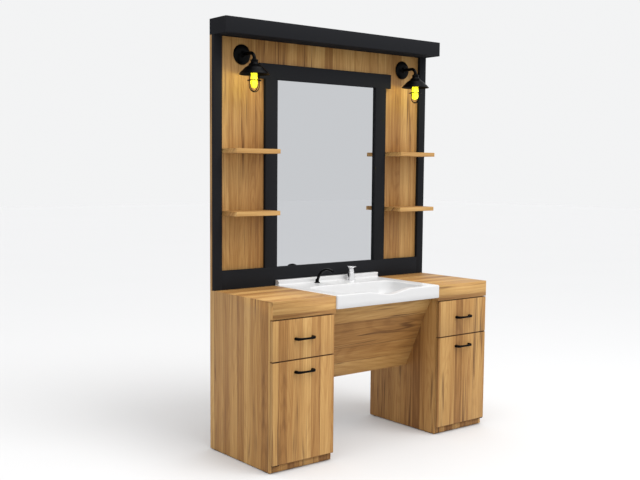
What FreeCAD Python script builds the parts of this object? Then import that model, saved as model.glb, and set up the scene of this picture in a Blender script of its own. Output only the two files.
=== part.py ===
"""Wall-side salon station: two pedestals, a worktop with a basin, a mirror wall and two lamps.

Sizes are in millimetres. X runs to the right, Y runs back to the wall and Z runs up. While the pieces are made,
x = 0 is the middle of the station, y = 0 is the wall and z = 0 is the floor. save() then moves every piece so
that the origin is the middle of the station's footprint on the floor. The two halves are mirror images, so most
pieces are made for the left half and mirrored.
"""
import FreeCAD, Part
import math
import os

from FreeCAD import Vector

# ---- driving dimensions ----
WIDTH = 1448.0
HEIGHT = 2117.0
BOARD = 18.0               # thickness of the boards
WORKTOP_Z = 800.0          # top of the worktop
NOSE_DROP = 82.5           # depth of the worktop's front edge
FRONT_DEPTH = 521.0        # from the wall to the face of the doors, drawers and nose
FRONT_GAP = 4.0            # gap between one front and the next
BUFFER_GAP = 2.0           # gap between a closed front and the carcass
GLIDE_HEIGHT = 4.0
PLINTH_TOP = 38.0
PEDESTAL_WIDTH = 366.0
WORKTOP_LENGTH = 374.0     # each half of the worktop, 8 mm longer than its pedestal is wide
DIVIDER_Z = 521.0          # underside of the board between drawer and cupboard
DOOR_BOTTOM = 41.0
HANDLE_REACH = 30.0        # from the face of a front to the outside of its handle

BASIN_WIDTH = 698.0
BASIN_FRONT = 531.0        # from the wall to the basin's front face
BASIN_BACK = 20.0
BASIN_BOTTOM = 737.0
DECK_Z = 803.0
UPSTAND_TOP = 829.0

PANEL_TOP = 2041.0         # top of the back panel and underside of the cornice
STILE = 48.0               # outer stiles of the black frame
INNER_STILE = 76.0
MIRROR_HALF = 338.0        # half the width between the inner stiles
BOTTOM_RAIL_TOP = 896.0
TOP_RAIL = (1850.0, 1927.0)
TOP_RAIL_HALF = 450.0
CORNICE_DEPTH = 142.0
SHELF_DEPTH = 145.0
SHELF_THICK = 22.0
SHELF_UNDERSIDES = (1170.0, 1475.0)
LAMP_X = 549.0
LAMP_Z = 1960.0

# ---- planes worked out from them ----
HALF = WIDTH / 2
FRONT = -FRONT_DEPTH
FRONT_INNER = FRONT + BOARD
CARCASS = FRONT_INNER + BUFFER_GAP
BACK_BOARD = 8.0
TOTAL_DEPTH = FRONT_DEPTH + HANDLE_REACH
NOSE_Z = WORKTOP_Z - NOSE_DROP
TOP_UNDERSIDE = WORKTOP_Z - BOARD
KNEE_X = HALF - PEDESTAL_WIDTH            # knee-side face of the inner sides
OUTER_INNER = HALF - BOARD                # inner face of the outer sides
INNER_INNER = KNEE_X + BOARD              # inner face of the inner sides
WORKTOP_END = HALF - WORKTOP_LENGTH
FRAME_FACE = -2 * BOARD                   # face of the black frame
FRONT_EDGES = (HALF - 1.0, KNEE_X + 1.0)  # outer and inner edge of the fronts
DOOR_TOP = DIVIDER_Z - 0.5
DRAWER_FRONT_Z = (DOOR_TOP + FRONT_GAP, NOSE_Z - FRONT_GAP)

# ---- fittings ----
RUNNER_Z = 620.0           # height of the middle of the drawer runners
RUNNER_HEIGHT = 45.0
RUNNER_LENGTH = 450.0
RUNNER_SPACE = 13.0        # room for a runner beside the drawer
STEEL = 1.2                # sheet thickness of the runners
PIVOT_PIN_R = 2.5
PIVOT_PLAY = 0.05          # radial clearance of every turning pin
PIVOT_INSET = (6.5, 4.5)   # pivot pin's distance from the door's edge and face
PIVOT_PLATE = 2.5
HANDLE_CENTRES = 96.0
HANDLE_X = HALF - PEDESTAL_WIDTH / 2
DRAWER_HANDLE_Z = 620.0
DOOR_HANDLE_Z = 464.5
SPOUT_X = -110.0
SPOUT_Y = -84.0
MIXER_X = 119.0
MIXER_Y = -93.0
WASTE_Y = -295.0

X_AXIS = Vector(1, 0, 0)
Y_AXIS = Vector(0, 1, 0)
Z_AXIS = Vector(0, 0, 1)
TURNED_SIDES = 18          # flat sides of a turned piece
TO_ORIGIN = Vector(0, TOTAL_DEPTH / 2, 0)


# ---- helpers ----
def block(x, y, z):
    """A box between the pairs of limits x, y and z."""
    corner = Vector(min(x), min(y), min(z))
    return Part.makeBox(abs(x[1] - x[0]), abs(y[1] - y[0]), abs(z[1] - z[0]), corner)


def prism(corners, travel):
    """A flat polygon through the corners, pushed along travel."""
    points = [Vector(*corner) for corner in corners]
    return Part.Face(Part.makePolygon(points + points[:1])).extrude(travel)


def rod(start, direction, radius, length):
    """A round rod from start along direction."""
    return Part.makeCylinder(radius, length, start, direction)


def outline(start, *moves):
    """A closed wire. Each move is the next point, or (point on the arc, next point) for an arc."""
    edges = []
    here = start
    for move in moves:
        if isinstance(move, tuple):
            edges.append(Part.Arc(here, move[0], move[1]).toShape())
            here = move[1]
        else:
            edges.append(Part.LineSegment(here, move).toShape())
            here = move
    if not here.isEqual(start, 1e-6):
        edges.append(Part.LineSegment(here, start).toShape())
    return Part.Wire(edges)


def flat_face(corners):
    """A flat face through the corners."""
    return Part.Face(Part.makePolygon(corners + corners[:1]))


def flat_band(rings):
    """Flat faces from each ring of corners to the next. Corners that fall together are left out."""
    faces = []
    for lower, upper in zip(rings, rings[1:]):
        for side in range(len(lower)):
            after = (side + 1) % len(lower)
            corners = [lower[side], lower[after], upper[after], upper[side]]
            distinct = [here for here, before in zip(corners, corners[-1:] + corners) if not here.isEqual(before, 1e-6)]
            if len(distinct) > 2:
                faces.append(flat_face(distinct))
    return faces


def closed_solid(faces):
    """The solid inside a closed set of faces."""
    shell = Part.makeShell(faces)
    shell.sewShape()
    solid = Part.makeSolid(shell)
    if solid.Volume < 0:
        solid.reverse()
    return solid.removeSplitter()


def faceted(points, place=Vector(0, 0, 0), direction=Z_AXIS, sides=TURNED_SIDES):
    """A turned piece with flats for its round sides, from a closed row of (radius, height) points.

    It keeps the meshes of small cones, of pieces that repeat and of hidden ones light.
    """
    tilt = FreeCAD.Rotation(Z_AXIS, direction)
    angles = [2 * math.pi * side / sides for side in range(sides)]
    rings = []
    for radius, height in points:
        corners = [Vector(radius * math.cos(angle), radius * math.sin(angle), height) for angle in angles]
        rings.append([place + tilt.multVec(corner) for corner in corners])
    return closed_solid(flat_band(rings + rings[:1]))


def peg(start, direction, radius, length, sides=8):
    """A dowel with flat sides, from start along direction. Its hole is a slightly larger one."""
    return faceted([(0, 0), (radius, 0), (radius, length), (0, length)], start, direction, sides)


def bent_bar(path, start, direction, radius, sides=10):
    """A bar with flat sides that follows a path."""
    section = peg(start, direction, radius, 1.0, sides)
    end = min(section.Faces, key=lambda face: (face.CenterOfMass - start).Length)
    return path.makePipeShell([end.OuterWire], True, True)


def mirrored(shape):
    """The right-hand twin of a left-hand shape."""
    return shape.mirror(Vector(0, 0, 0), X_AXIS)


def pair(shape):
    """A left-hand shape and its right-hand twin."""
    return [shape, mirrored(shape)]


def save(name, *shapes):
    """Move the shapes to the station's own origin and write them as one node."""
    whole = shapes[0] if len(shapes) == 1 else Part.makeCompound(list(shapes))
    moved = whole.copy()
    moved.translate(TO_ORIGIN)
    moved.exportStep(os.path.join("parts", name + ".step"))


def save_twins(name, shape):
    """Write a left-hand shape and its right-hand twin as two nodes."""
    save(name + "_left", shape)
    save(name + "_right", mirrored(shape))


# ---- pedestals ----
STUD_R = 2.5
STUD_HOLE = 10.0
STUD_LENGTH = 17.0
STUD_Y = (-440.0, -60.0)
CUPBOARD_SHELF_Z = 270.0
SHELF_SETBACK = 21.0       # from the carcass front to the edge of a cupboard shelf
RAIL_WIDTH = 80.0          # of the stretchers and the rear rail
GLIDE_R = 8.0
GLIDE_INSET = 35.0         # of the glides from the panel's front and back
PIVOT_ROOM = (24.0, 38.0)  # width and depth of the recess for a pivot plate


def mitre(x=None, y=None):
    """The wedge that a 45 degree mitre takes off the top inner edge of a side (x) or of the nose (y)."""
    if x is not None:
        corners = [(x, FRONT, WORKTOP_Z), (x + BOARD, FRONT, WORKTOP_Z), (x + BOARD, FRONT, TOP_UNDERSIDE)]
        return prism(corners, Vector(0, FRONT_DEPTH, 0))
    corners = [(-HALF, y, WORKTOP_Z), (-HALF, y + BOARD, WORKTOP_Z), (-HALF, y + BOARD, TOP_UNDERSIDE)]
    return prism(corners, Vector(WORKTOP_LENGTH, 0, 0))


def stud_places():
    """The (y, z) places of the studs that carry a cupboard shelf."""
    return [(y, CUPBOARD_SHELF_Z - STUD_R) for y in STUD_Y]


def stud_holes(face, direction):
    """Holes for the shelf studs in a side whose inner face is at x = face."""
    return [peg(Vector(face, y, z), direction, STUD_R + PIVOT_PLAY, STUD_HOLE) for y, z in stud_places()]


def outer_side():
    """Outer side panel, mitred to the worktop and, beside the nose, to the nose."""
    panel = block((-HALF, -OUTER_INNER), (FRONT, 0), (GLIDE_HEIGHT, WORKTOP_Z))
    panel = panel.cut(block((-HALF, -OUTER_INNER), (FRONT, CARCASS), (GLIDE_HEIGHT, NOSE_Z)))
    beside_nose = prism(
        [(-HALF, FRONT, NOSE_Z), (-OUTER_INNER, FRONT, NOSE_Z), (-OUTER_INNER, FRONT_INNER, NOSE_Z)],
        Vector(0, 0, NOSE_DROP),
    )
    return panel.cut([mitre(x=-HALF), beside_nose] + stud_holes(-OUTER_INNER, -X_AXIS))


def inner_side():
    """Inner side panel, the wall of the knee space."""
    panel = block((-INNER_INNER, -KNEE_X), (CARCASS, 0), (GLIDE_HEIGHT, TOP_UNDERSIDE))
    lug = block((-INNER_INNER, -KNEE_X), (FRONT_INNER, CARCASS), (NOSE_Z, TOP_UNDERSIDE))
    return panel.fuse(lug).removeSplitter().cut(stud_holes(-INNER_INNER, X_AXIS))


def pivot_recess(z):
    """Room in the underside of a board for a door's pivot plate."""
    width, depth = PIVOT_ROOM
    return block((-OUTER_INNER, -OUTER_INNER + width), (CARCASS, CARCASS + depth), (z, z + PIVOT_PLATE))


def level_board(z):
    """A board across a pedestal with a pivot plate let into its underside."""
    board = block((-OUTER_INNER, -INNER_INNER), (CARCASS, -BACK_BOARD), (z, z + BOARD))
    return board.cut(pivot_recess(z))


def make_pedestals():
    """The boards of both pedestals with their studs and glides."""
    across = (-OUTER_INNER, -INNER_INNER)
    save_twins("side_outer", outer_side())
    save_twins("side_inner", inner_side())
    save("base_boards", *pair(level_board(PLINTH_TOP)))
    save("divider_boards", *pair(level_board(DIVIDER_Z)))
    save("pedestal_backs", *pair(block(across, (-BACK_BOARD, 0), (PLINTH_TOP, TOP_UNDERSIDE))))
    save("plinth_boards", *pair(block(across, (CARCASS, CARCASS + BOARD), (GLIDE_HEIGHT, PLINTH_TOP))))

    shelf_z = (CUPBOARD_SHELF_Z, CUPBOARD_SHELF_Z + BOARD)
    shelf = block((across[0] + 1.0, across[1] - 1.0), (CARCASS + SHELF_SETBACK, -BACK_BOARD - 2.0), shelf_z)
    save("cupboard_shelves", *pair(shelf))
    studs = []
    for y, z in stud_places():
        studs += pair(peg(Vector(-OUTER_INNER - STUD_HOLE + 2.0, y, z), X_AXIS, STUD_R, STUD_LENGTH))
        studs += pair(peg(Vector(-INNER_INNER + STUD_HOLE - 2.0, y, z), -X_AXIS, STUD_R, STUD_LENGTH))
    save("shelf_studs", *studs)

    stretcher_z = (TOP_UNDERSIDE - BOARD, TOP_UNDERSIDE)
    stretchers = pair(block(across, (FRONT_INNER, FRONT_INNER + RAIL_WIDTH), stretcher_z))
    stretchers += pair(block(across, (-BACK_BOARD - RAIL_WIDTH, -BACK_BOARD), stretcher_z))
    save("top_stretchers", *stretchers)

    glides = []
    for x in (-HALF + BOARD / 2, -KNEE_X - BOARD / 2):
        for y in (CARCASS + GLIDE_INSET, -GLIDE_INSET):
            glides += pair(peg(Vector(x, y, 0), Z_AXIS, GLIDE_R, GLIDE_HEIGHT))
    save("glides", *glides)


# ---- worktop, rear rail and apron ----
def worktop_board():
    """One half of the worktop, mitred along its outer end and its front."""
    board = block((-HALF, -WORKTOP_END), (FRONT, 0), (TOP_UNDERSIDE, WORKTOP_Z))
    end_wedge = prism(
        [(-HALF, FRONT, WORKTOP_Z), (-HALF, FRONT, TOP_UNDERSIDE), (-OUTER_INNER, FRONT, TOP_UNDERSIDE)],
        Vector(0, FRONT_DEPTH, 0),
    )
    front_wedge = prism(
        [(-HALF, FRONT, WORKTOP_Z), (-HALF, FRONT, TOP_UNDERSIDE), (-HALF, FRONT_INNER, TOP_UNDERSIDE)],
        Vector(WORKTOP_LENGTH, 0, 0),
    )
    return board.cut([end_wedge, front_wedge])


def nose_board():
    """The worktop's front edge, mitred to the top and to the outer side."""
    nose = block((-HALF, -WORKTOP_END), (FRONT, FRONT_INNER), (NOSE_Z, WORKTOP_Z))
    end_wedge = prism(
        [(-HALF, FRONT, NOSE_Z), (-HALF, FRONT_INNER, NOSE_Z), (-OUTER_INNER, FRONT_INNER, NOSE_Z)],
        Vector(0, 0, NOSE_DROP),
    )
    return nose.cut([mitre(y=FRONT), end_wedge])


APRON_TOP = Vector(0, -468.0, 735.0)       # front top edge of the sloping apron
APRON_FOOT = Vector(0, -283.0, 340.0)      # its front bottom edge


def apron_panel():
    """The board that slopes back under the basin and hides the waste."""
    down = (APRON_FOOT - APRON_TOP).normalize()
    inward = Vector(0, -down.z, down.y)
    back_foot = APRON_FOOT + inward * BOARD
    rise = (APRON_TOP.z - back_foot.z) / down.z
    back_top = back_foot + down * rise
    corners = [Vector(-KNEE_X, point.y, point.z) for point in (APRON_TOP, APRON_FOOT, back_foot, back_top)]
    return prism(corners, Vector(2 * KNEE_X, 0, 0))


WALL_SCREW_X = 250.0
WALL_SCREW_Z = 742.0
WALL_SCREW_R = 4.0
BEARER = 28.0              # square section of the basin's bearers
BEARER_Y = (-432.0, -60.0)


def make_worktop():
    """Worktop halves, their noses, the rear rail, the bearers under the basin and the apron."""
    save_twins("worktop", worktop_board())
    save("worktop_noses", *pair(nose_board()))
    rail = block((-KNEE_X, KNEE_X), (-BOARD, 0), (TOP_UNDERSIDE - RAIL_WIDTH, TOP_UNDERSIDE))
    screw_places = [Vector(x, 0, WALL_SCREW_Z) for x in (-WALL_SCREW_X, WALL_SCREW_X)]
    screw_holes = [rod(place, -Y_AXIS, WALL_SCREW_R, BOARD) for place in screw_places]
    save("rear_rail", rail.cut(screw_holes))
    bearer = block((-KNEE_X, -KNEE_X + BEARER), BEARER_Y, (BASIN_BOTTOM - BEARER, BASIN_BOTTOM))
    save("basin_bearers", *pair(bearer))
    save("apron_panel", apron_panel())


# ---- drawers ----
DRAWER_BOX_Z = (RUNNER_Z - 60.0, RUNNER_Z + 60.0)
DRAWER_WALL = 15.0
DRAWER_OUTER = OUTER_INNER - RUNNER_SPACE
DRAWER_INNER = INNER_INNER + RUNNER_SPACE
DRAWER_BACK = FRONT_INNER + RUNNER_LENGTH
DRAWER_BOTTOM = (DRAWER_BOX_Z[0] + 6.0, DRAWER_BOX_Z[0] + 12.0)
GROOVE = 7.0


def drawer_box():
    """Two sides, inner front, back and a bottom that runs in grooves."""
    depth = (FRONT_INNER, DRAWER_BACK)
    sheet = block(
        (-DRAWER_OUTER + DRAWER_WALL - GROOVE, -DRAWER_INNER - DRAWER_WALL + GROOVE),
        (FRONT_INNER + DRAWER_WALL - GROOVE, DRAWER_BACK),
        DRAWER_BOTTOM,
    )
    outer_wall = block((-DRAWER_OUTER, -DRAWER_OUTER + DRAWER_WALL), depth, DRAWER_BOX_Z)
    inner_wall = block((-DRAWER_INNER - DRAWER_WALL, -DRAWER_INNER), depth, DRAWER_BOX_Z)
    between = (-DRAWER_OUTER + DRAWER_WALL, -DRAWER_INNER - DRAWER_WALL)
    inner_front = block(between, (FRONT_INNER, FRONT_INNER + DRAWER_WALL), DRAWER_BOX_Z)
    rear = block(between, (DRAWER_BACK - DRAWER_WALL, DRAWER_BACK), (DRAWER_BOTTOM[1], DRAWER_BOX_Z[1]))
    return [outer_wall.cut(sheet), inner_wall.cut(sheet), inner_front.cut(sheet), rear, sheet]


def channel(web, lips, half_height):
    """One runner member: a web at the pair of distances web, with two lips out to the pair lips.

    Distances are measured from the wall that the runner is screwed to, towards the drawer.
    """
    length = (CARCASS + 2.0, CARCASS + 2.0 + RUNNER_LENGTH)
    member = block(web, length, (RUNNER_Z - half_height, RUNNER_Z + half_height))
    for side in (-1, 1):
        edge = (RUNNER_Z + side * half_height, RUNNER_Z + side * (half_height - STEEL))
        member = member.fuse(block(lips, length, edge))
    return member.removeSplitter()


RUNNER_PLAY = 0.3          # between one runner member and the next
FIXED_HALF = RUNNER_HEIGHT / 2
MIDDLE_HALF = FIXED_HALF - STEEL - RUNNER_PLAY
SLIDE_HALF = MIDDLE_HALF - STEEL - RUNNER_PLAY


def runner_members():
    """The fixed, middle and sliding member of one runner, at distances from x = 0 towards the drawer."""
    fixed = channel((0.0, STEEL), (0.0, 12.2), FIXED_HALF)
    middle = channel((3.0, 3.0 + STEEL), (3.0, 11.4), MIDDLE_HALF)
    sliding = channel((RUNNER_SPACE - STEEL, RUNNER_SPACE), (5.5, RUNNER_SPACE), SLIDE_HALF)
    return fixed, middle, sliding


def both_walls(member):
    """A runner member on the outer wall and its twin on the inner wall of the left pedestal."""
    outer = member.copy()
    outer.translate(Vector(-OUTER_INNER, 0, 0))
    inner = mirrored(member)
    inner.translate(Vector(-INNER_INNER, 0, 0))
    return [outer, inner]


def make_drawers():
    """Drawer fronts, boxes and three-member runners."""
    edges = (-FRONT_EDGES[0], -FRONT_EDGES[1])
    save_twins("drawer_front", block(edges, (FRONT, FRONT_INNER), DRAWER_FRONT_Z))
    save_twins("drawer_box", Part.makeCompound(drawer_box()))
    fixed, middle, sliding = runner_members()
    channels = both_walls(fixed)
    save("runner_channels", *channels, *[mirrored(member) for member in channels])
    save_twins("runner_middles", Part.makeCompound(both_walls(middle)))
    save_twins("runner_slides", Part.makeCompound(both_walls(sliding)))


# ---- doors ----
PIVOT_X = -FRONT_EDGES[0] + PIVOT_INSET[0]
PIVOT_Y = FRONT + PIVOT_INSET[1]
BORE_DEPTH = 12.0


def door():
    """A door with a bore for a pivot pin in its bottom and its top edge."""
    leaf = block((-FRONT_EDGES[0], -FRONT_EDGES[1]), (FRONT, FRONT_INNER), (DOOR_BOTTOM, DOOR_TOP))
    bore_radius = PIVOT_PIN_R + PIVOT_PLAY
    lower = rod(Vector(PIVOT_X, PIVOT_Y, DOOR_BOTTOM), Z_AXIS, bore_radius, BORE_DEPTH)
    upper = rod(Vector(PIVOT_X, PIVOT_Y, DOOR_TOP), -Z_AXIS, bore_radius, BORE_DEPTH)
    return leaf.cut([lower, upper])


def pivot_bracket(z, pin_start, pin_direction):
    """A cranked plate under a board, with a pin that stands in the door's edge."""
    nose = PIVOT_INSET[1]
    thick = (z, z + PIVOT_PLATE)
    plate = block((-OUTER_INNER + 2.0, -OUTER_INNER + 22.0), (PIVOT_Y + nose, CARCASS + 36.0), thick)
    arm = block((PIVOT_X, -OUTER_INNER + 22.0), (PIVOT_Y - nose, PIVOT_Y + nose), thick)
    eye = peg(Vector(PIVOT_X, PIVOT_Y, z), Z_AXIS, nose, PIVOT_PLATE)
    pin = rod(Vector(PIVOT_X, PIVOT_Y, pin_start), pin_direction, PIVOT_PIN_R, PIVOT_PLATE + 0.5 + BORE_DEPTH - 2.0)
    return plate.fuse([arm, eye, pin]).removeSplitter()


def make_doors():
    """Doors and the pivot brackets that carry them."""
    save_twins("door", door())
    brackets = pair(pivot_bracket(PLINTH_TOP, PLINTH_TOP, Z_AXIS))
    brackets += pair(pivot_bracket(DIVIDER_Z, DIVIDER_Z + PIVOT_PLATE, -Z_AXIS))
    save("door_pivots", *brackets)


# ---- handles ----
def bow_handle(z):
    """A bow handle: its plan and its front view are both cut from arcs, and its feet stand on the front."""
    reach = HANDLE_REACH
    half = HANDLE_CENTRES / 2 + 10.5
    inside = HANDLE_CENTRES / 2 - 6.5
    plan = outline(
        Vector(-half, 0, 0),
        (Vector(-half + 1.5, -reach * 0.6, 0), Vector(-half + 10.0, -reach + 1.5, 0)),
        (Vector(0, -reach, 0), Vector(half - 10.0, -reach + 1.5, 0)),
        (Vector(half - 1.5, -reach * 0.6, 0), Vector(half, 0, 0)),
        Vector(inside, 0, 0),
        (Vector(inside - 2.5, -reach * 0.5, 0), Vector(inside - 12.0, -reach + 9.0, 0)),
        (Vector(0, -reach + 7.0, 0), Vector(-inside + 12.0, -reach + 9.0, 0)),
        (Vector(-inside + 2.5, -reach * 0.5, 0), Vector(-inside, 0, 0)),
    )
    bow = Part.Face(plan).extrude(Vector(0, 0, 14.0))
    bow.translate(Vector(0, 0, -7.0))
    waist = outline(
        Vector(-half, 0, -7.0),
        (Vector(0, 0, -4.0), Vector(half, 0, -7.0)),
        Vector(half, 0, 7.0),
        (Vector(0, 0, 4.0), Vector(-half, 0, 7.0)),
    )
    bow = bow.common(Part.Face(waist).extrude(Vector(0, -reach - 1.0, 0)))
    bow.translate(Vector(-HANDLE_X, FRONT, z))
    return bow


def make_handles():
    """Four like handles, two on the drawers and two on the doors."""
    save_twins("drawer_handle", bow_handle(DRAWER_HANDLE_Z))
    save_twins("door_handle", bow_handle(DOOR_HANDLE_Z))


# ---- basin ----
BASIN_HALF = BASIN_WIDTH / 2
DECK_THICK = 16.0
WALL = 14.0
DIP_HALF = 150.0           # half the width of the neck dip
DIP_DEPTH = 21.0
SPOUT_HOLE_R = 10.5
MIXER_HOLE_R = 17.5
BOWL_FLOOR = 673.0
BOWL_OUTSIDE = [           # (half width, depths, height, corner radius) of the level rings
    (297.0, (-505.0, -193.0), DECK_Z - DECK_THICK, 72.0),
    (272.0, (-440.0, -203.0), BASIN_BOTTOM, 68.0),
    (162.0, (-362.0, -228.0), BOWL_FLOOR - 12.0, 57.0),
]
BOWL_INSIDE = [
    (287.0, (-497.0, -203.0), DECK_Z + 1.0, 62.0),
    (260.0, (-426.0, -216.0), 743.0, 56.0),
    (150.0, (-350.0, -240.0), BOWL_FLOOR, 45.0),
]
DRAIN_HOLE_R = 22.0
TAIL_R = 20.0              # the waste's threaded tail
TAIL_BORE_R = 15.0
FLANGE_R = 33.0
WASTE_NUT = (646.0, 661.0)
TRAP_FOOT = 530.0
TRAP_TOP = 600.0
TRAP_R = 30.0
OUTLET_R = 16.0
OUTLET_Z = 574.0


def rounded_rectangle(half_width, y, z, radius, steps=4):
    """The corners of a level rectangle between the pair of depths y, rounded in a few straight steps."""
    front, back = min(y) + radius, max(y) - radius
    side = half_width - radius
    points = []
    for quarter, (x_centre, y_centre) in enumerate(((side, back), (-side, back), (-side, front), (side, front))):
        for step in range(steps + 1):
            angle = math.pi / 2 * (quarter + step / steps)
            points.append(Vector(x_centre + radius * math.cos(angle), y_centre + radius * math.sin(angle), z))
    return points


def tapered(*rings):
    """A solid through level rings of corners, one above the other."""
    return closed_solid(flat_band(rings) + [flat_face(rings[0]), flat_face(rings[-1])])


def neck_dip():
    """The smooth hollow in the front rim, an arc between two reversed arcs."""
    low = DECK_Z - DIP_DEPTH
    quarter = DIP_HALF / 2
    middle = DECK_Z - DIP_DEPTH / 2
    bend = DIP_DEPTH * 0.11
    front = -BASIN_FRONT - 1.0
    profile = outline(
        Vector(-DIP_HALF, front, DECK_Z),
        (Vector(-DIP_HALF + quarter / 2, front, DECK_Z - bend), Vector(-quarter, front, middle)),
        (Vector(0, front, low), Vector(quarter, front, middle)),
        (Vector(DIP_HALF - quarter / 2, front, DECK_Z - bend), Vector(DIP_HALF, front, DECK_Z)),
        Vector(DIP_HALF, front, DECK_Z + 1.0),
        Vector(-DIP_HALF, front, DECK_Z + 1.0),
    )
    return Part.Face(profile).extrude(Vector(0, 60.0, 0))


def basin():
    """Ceramic basin: a thick tray hollow below, a sloping bowl, an upstand and a neck dip."""
    slab = block((-BASIN_HALF, BASIN_HALF), (-BASIN_FRONT, -BASIN_BACK), (BASIN_BOTTOM, DECK_Z))
    upstand = block((-BASIN_HALF, BASIN_HALF), (-60.0, -BASIN_BACK), (DECK_Z, UPSTAND_TOP))
    body = slab.fuse(upstand).removeSplitter()
    uprights = [edge for edge in body.Edges if is_upright(edge) and edge.BoundBox.YMax < -BASIN_FRONT + 1.0]
    body = body.makeFillet(8.0, uprights)
    hollow = block(
        (-BASIN_HALF + WALL, BASIN_HALF - WALL),
        (-BASIN_FRONT + WALL, -BASIN_BACK - WALL),
        (BASIN_BOTTOM, DECK_Z - DECK_THICK),
    )
    bowl_outside = tapered(*[rounded_rectangle(*ring) for ring in BOWL_OUTSIDE])
    bowl_inside = tapered(*[rounded_rectangle(*ring) for ring in BOWL_INSIDE])
    body = body.cut(hollow).fuse(bowl_outside).cut([bowl_inside, neck_dip()])
    holes = [
        rod(Vector(SPOUT_X, SPOUT_Y, DECK_Z), -Z_AXIS, SPOUT_HOLE_R, DECK_THICK),
        rod(Vector(MIXER_X, MIXER_Y, DECK_Z), -Z_AXIS, MIXER_HOLE_R, DECK_THICK),
        rod(Vector(0, WASTE_Y, BOWL_FLOOR), -Z_AXIS, DRAIN_HOLE_R, 12.0),
    ]
    return body.cut(holes).removeSplitter()


def is_upright(edge):
    """True for a straight edge along Z."""
    box = edge.BoundBox
    return box.XLength < 1e-6 and box.YLength < 1e-6 and box.ZLength > 1.0


def make_basin():
    """Basin, waste and bottle trap."""
    save("basin", basin())
    drain = Vector(0, WASTE_Y, 0)
    bore = rod(drain + Vector(0, 0, TRAP_TOP), Z_AXIS, TAIL_BORE_R, 100.0)
    low, high = WASTE_NUT
    waste = faceted(
        [(0, TRAP_TOP), (TAIL_R, TRAP_TOP), (TAIL_R, high), (DRAIN_HOLE_R, high), (DRAIN_HOLE_R, BOWL_FLOOR),
         (FLANGE_R, BOWL_FLOOR), (FLANGE_R - 2.0, BOWL_FLOOR + 2.5), (0, BOWL_FLOOR + 2.5)],
        drain,
    )
    nut = faceted([(TAIL_R, low), (FLANGE_R, low), (FLANGE_R, high), (TAIL_R, high)], drain, sides=6)
    save("basin_waste", waste.fuse(nut).cut(bore).removeSplitter())
    bottle = faceted(
        [(0, TRAP_FOOT), (TRAP_R - 8.0, TRAP_FOOT), (TRAP_R, TRAP_FOOT + 14.0), (TRAP_R, TRAP_TOP - 8.0),
         (TRAP_R - 4.0, TRAP_TOP), (0, TRAP_TOP)],
        drain,
    )
    inside, outside, lip = TAIL_R + 0.8, TRAP_R - 3.0, TRAP_TOP + 18.0
    collar = faceted([(inside, TRAP_TOP), (outside, TRAP_TOP), (outside, lip), (inside, lip)], drain, sides=12)
    outlet = rod(Vector(0, WASTE_Y, OUTLET_Z), Y_AXIS, OUTLET_R, -WASTE_Y)
    union = peg(Vector(0, WASTE_Y + 24.0, OUTLET_Z), Y_AXIS, 23.0, 26.0, 12)
    save("bottle_trap", bottle.fuse(outlet.fuse(union)).fuse(collar))


# ---- spout and mixer ----
SPOUT_LEAN = math.radians(28.0)
SPOUT_START = 818.0        # where the spout's centre line starts
SPOUT_RADIUS = 85.0        # bend of the spout's tube
SPOUT_RUN = 20.0           # straight run before the bend
SPOUT_TUBE_R = 7.2
STEM_R = 6.0
TAIL_Z = 770.0             # lower end of the taps' threaded tails
BASE_TOP = 814.5           # top of the spout's base
BODY_TOP = 846.0           # top of the mixer's body
SPIGOT_R = 9.0             # spigot on which the mixer's head turns
HEAD_TOP = 864.0
BARREL_R = 2.0             # hinge barrel of the mixer's lever
BARREL_LENGTH = 12.0
BARREL_Y = 11.0
HEAD_R = 17.0
HEAD_NECK_R = 14.0
PLATE_R = 23.5             # round plate of the lever
PLATE_THICK = 3.5


def spout_path(start):
    """The spout's centre line: a straight run that leans forward, then a quarter circle."""
    along = Vector(0, -math.sin(SPOUT_LEAN), math.cos(SPOUT_LEAN))
    inward = Vector(0, -math.cos(SPOUT_LEAN), -math.sin(SPOUT_LEAN))
    bend = start + along * SPOUT_RUN
    centre = bend + inward * SPOUT_RADIUS
    diagonal = (along - inward).normalize()
    middle = centre + diagonal * SPOUT_RADIUS
    end = centre + along * SPOUT_RADIUS
    return Part.Wire([Part.LineSegment(start, bend).toShape(), Part.Arc(bend, middle, end).toShape()]), along


def spout():
    """The swivelling tube with its collar and the stem that turns in the base."""
    start = Vector(SPOUT_X, SPOUT_Y - 2.0, SPOUT_START)
    path, along = spout_path(start)
    tube = bent_bar(path, start, along, SPOUT_TUBE_R)
    foot = BASE_TOP + 0.5
    collar = faceted([(0, foot), (9.5, foot), (8.0, foot + 9.0), (0, foot + 9.0)], Vector(SPOUT_X, SPOUT_Y, 0))
    stem = rod(Vector(SPOUT_X, SPOUT_Y, foot), -Z_AXIS, STEM_R, 15.0)
    return tube.fuse([collar, stem])


def tail_nut(centre, tail_radius, corner_radius):
    """The hexagon nut that clamps a tap under the basin's deck."""
    top = DECK_Z - DECK_THICK
    profile = [(tail_radius, top - 9.0), (corner_radius, top - 9.0), (corner_radius, top), (tail_radius, top)]
    return faceted(profile, centre, sides=6)


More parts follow.
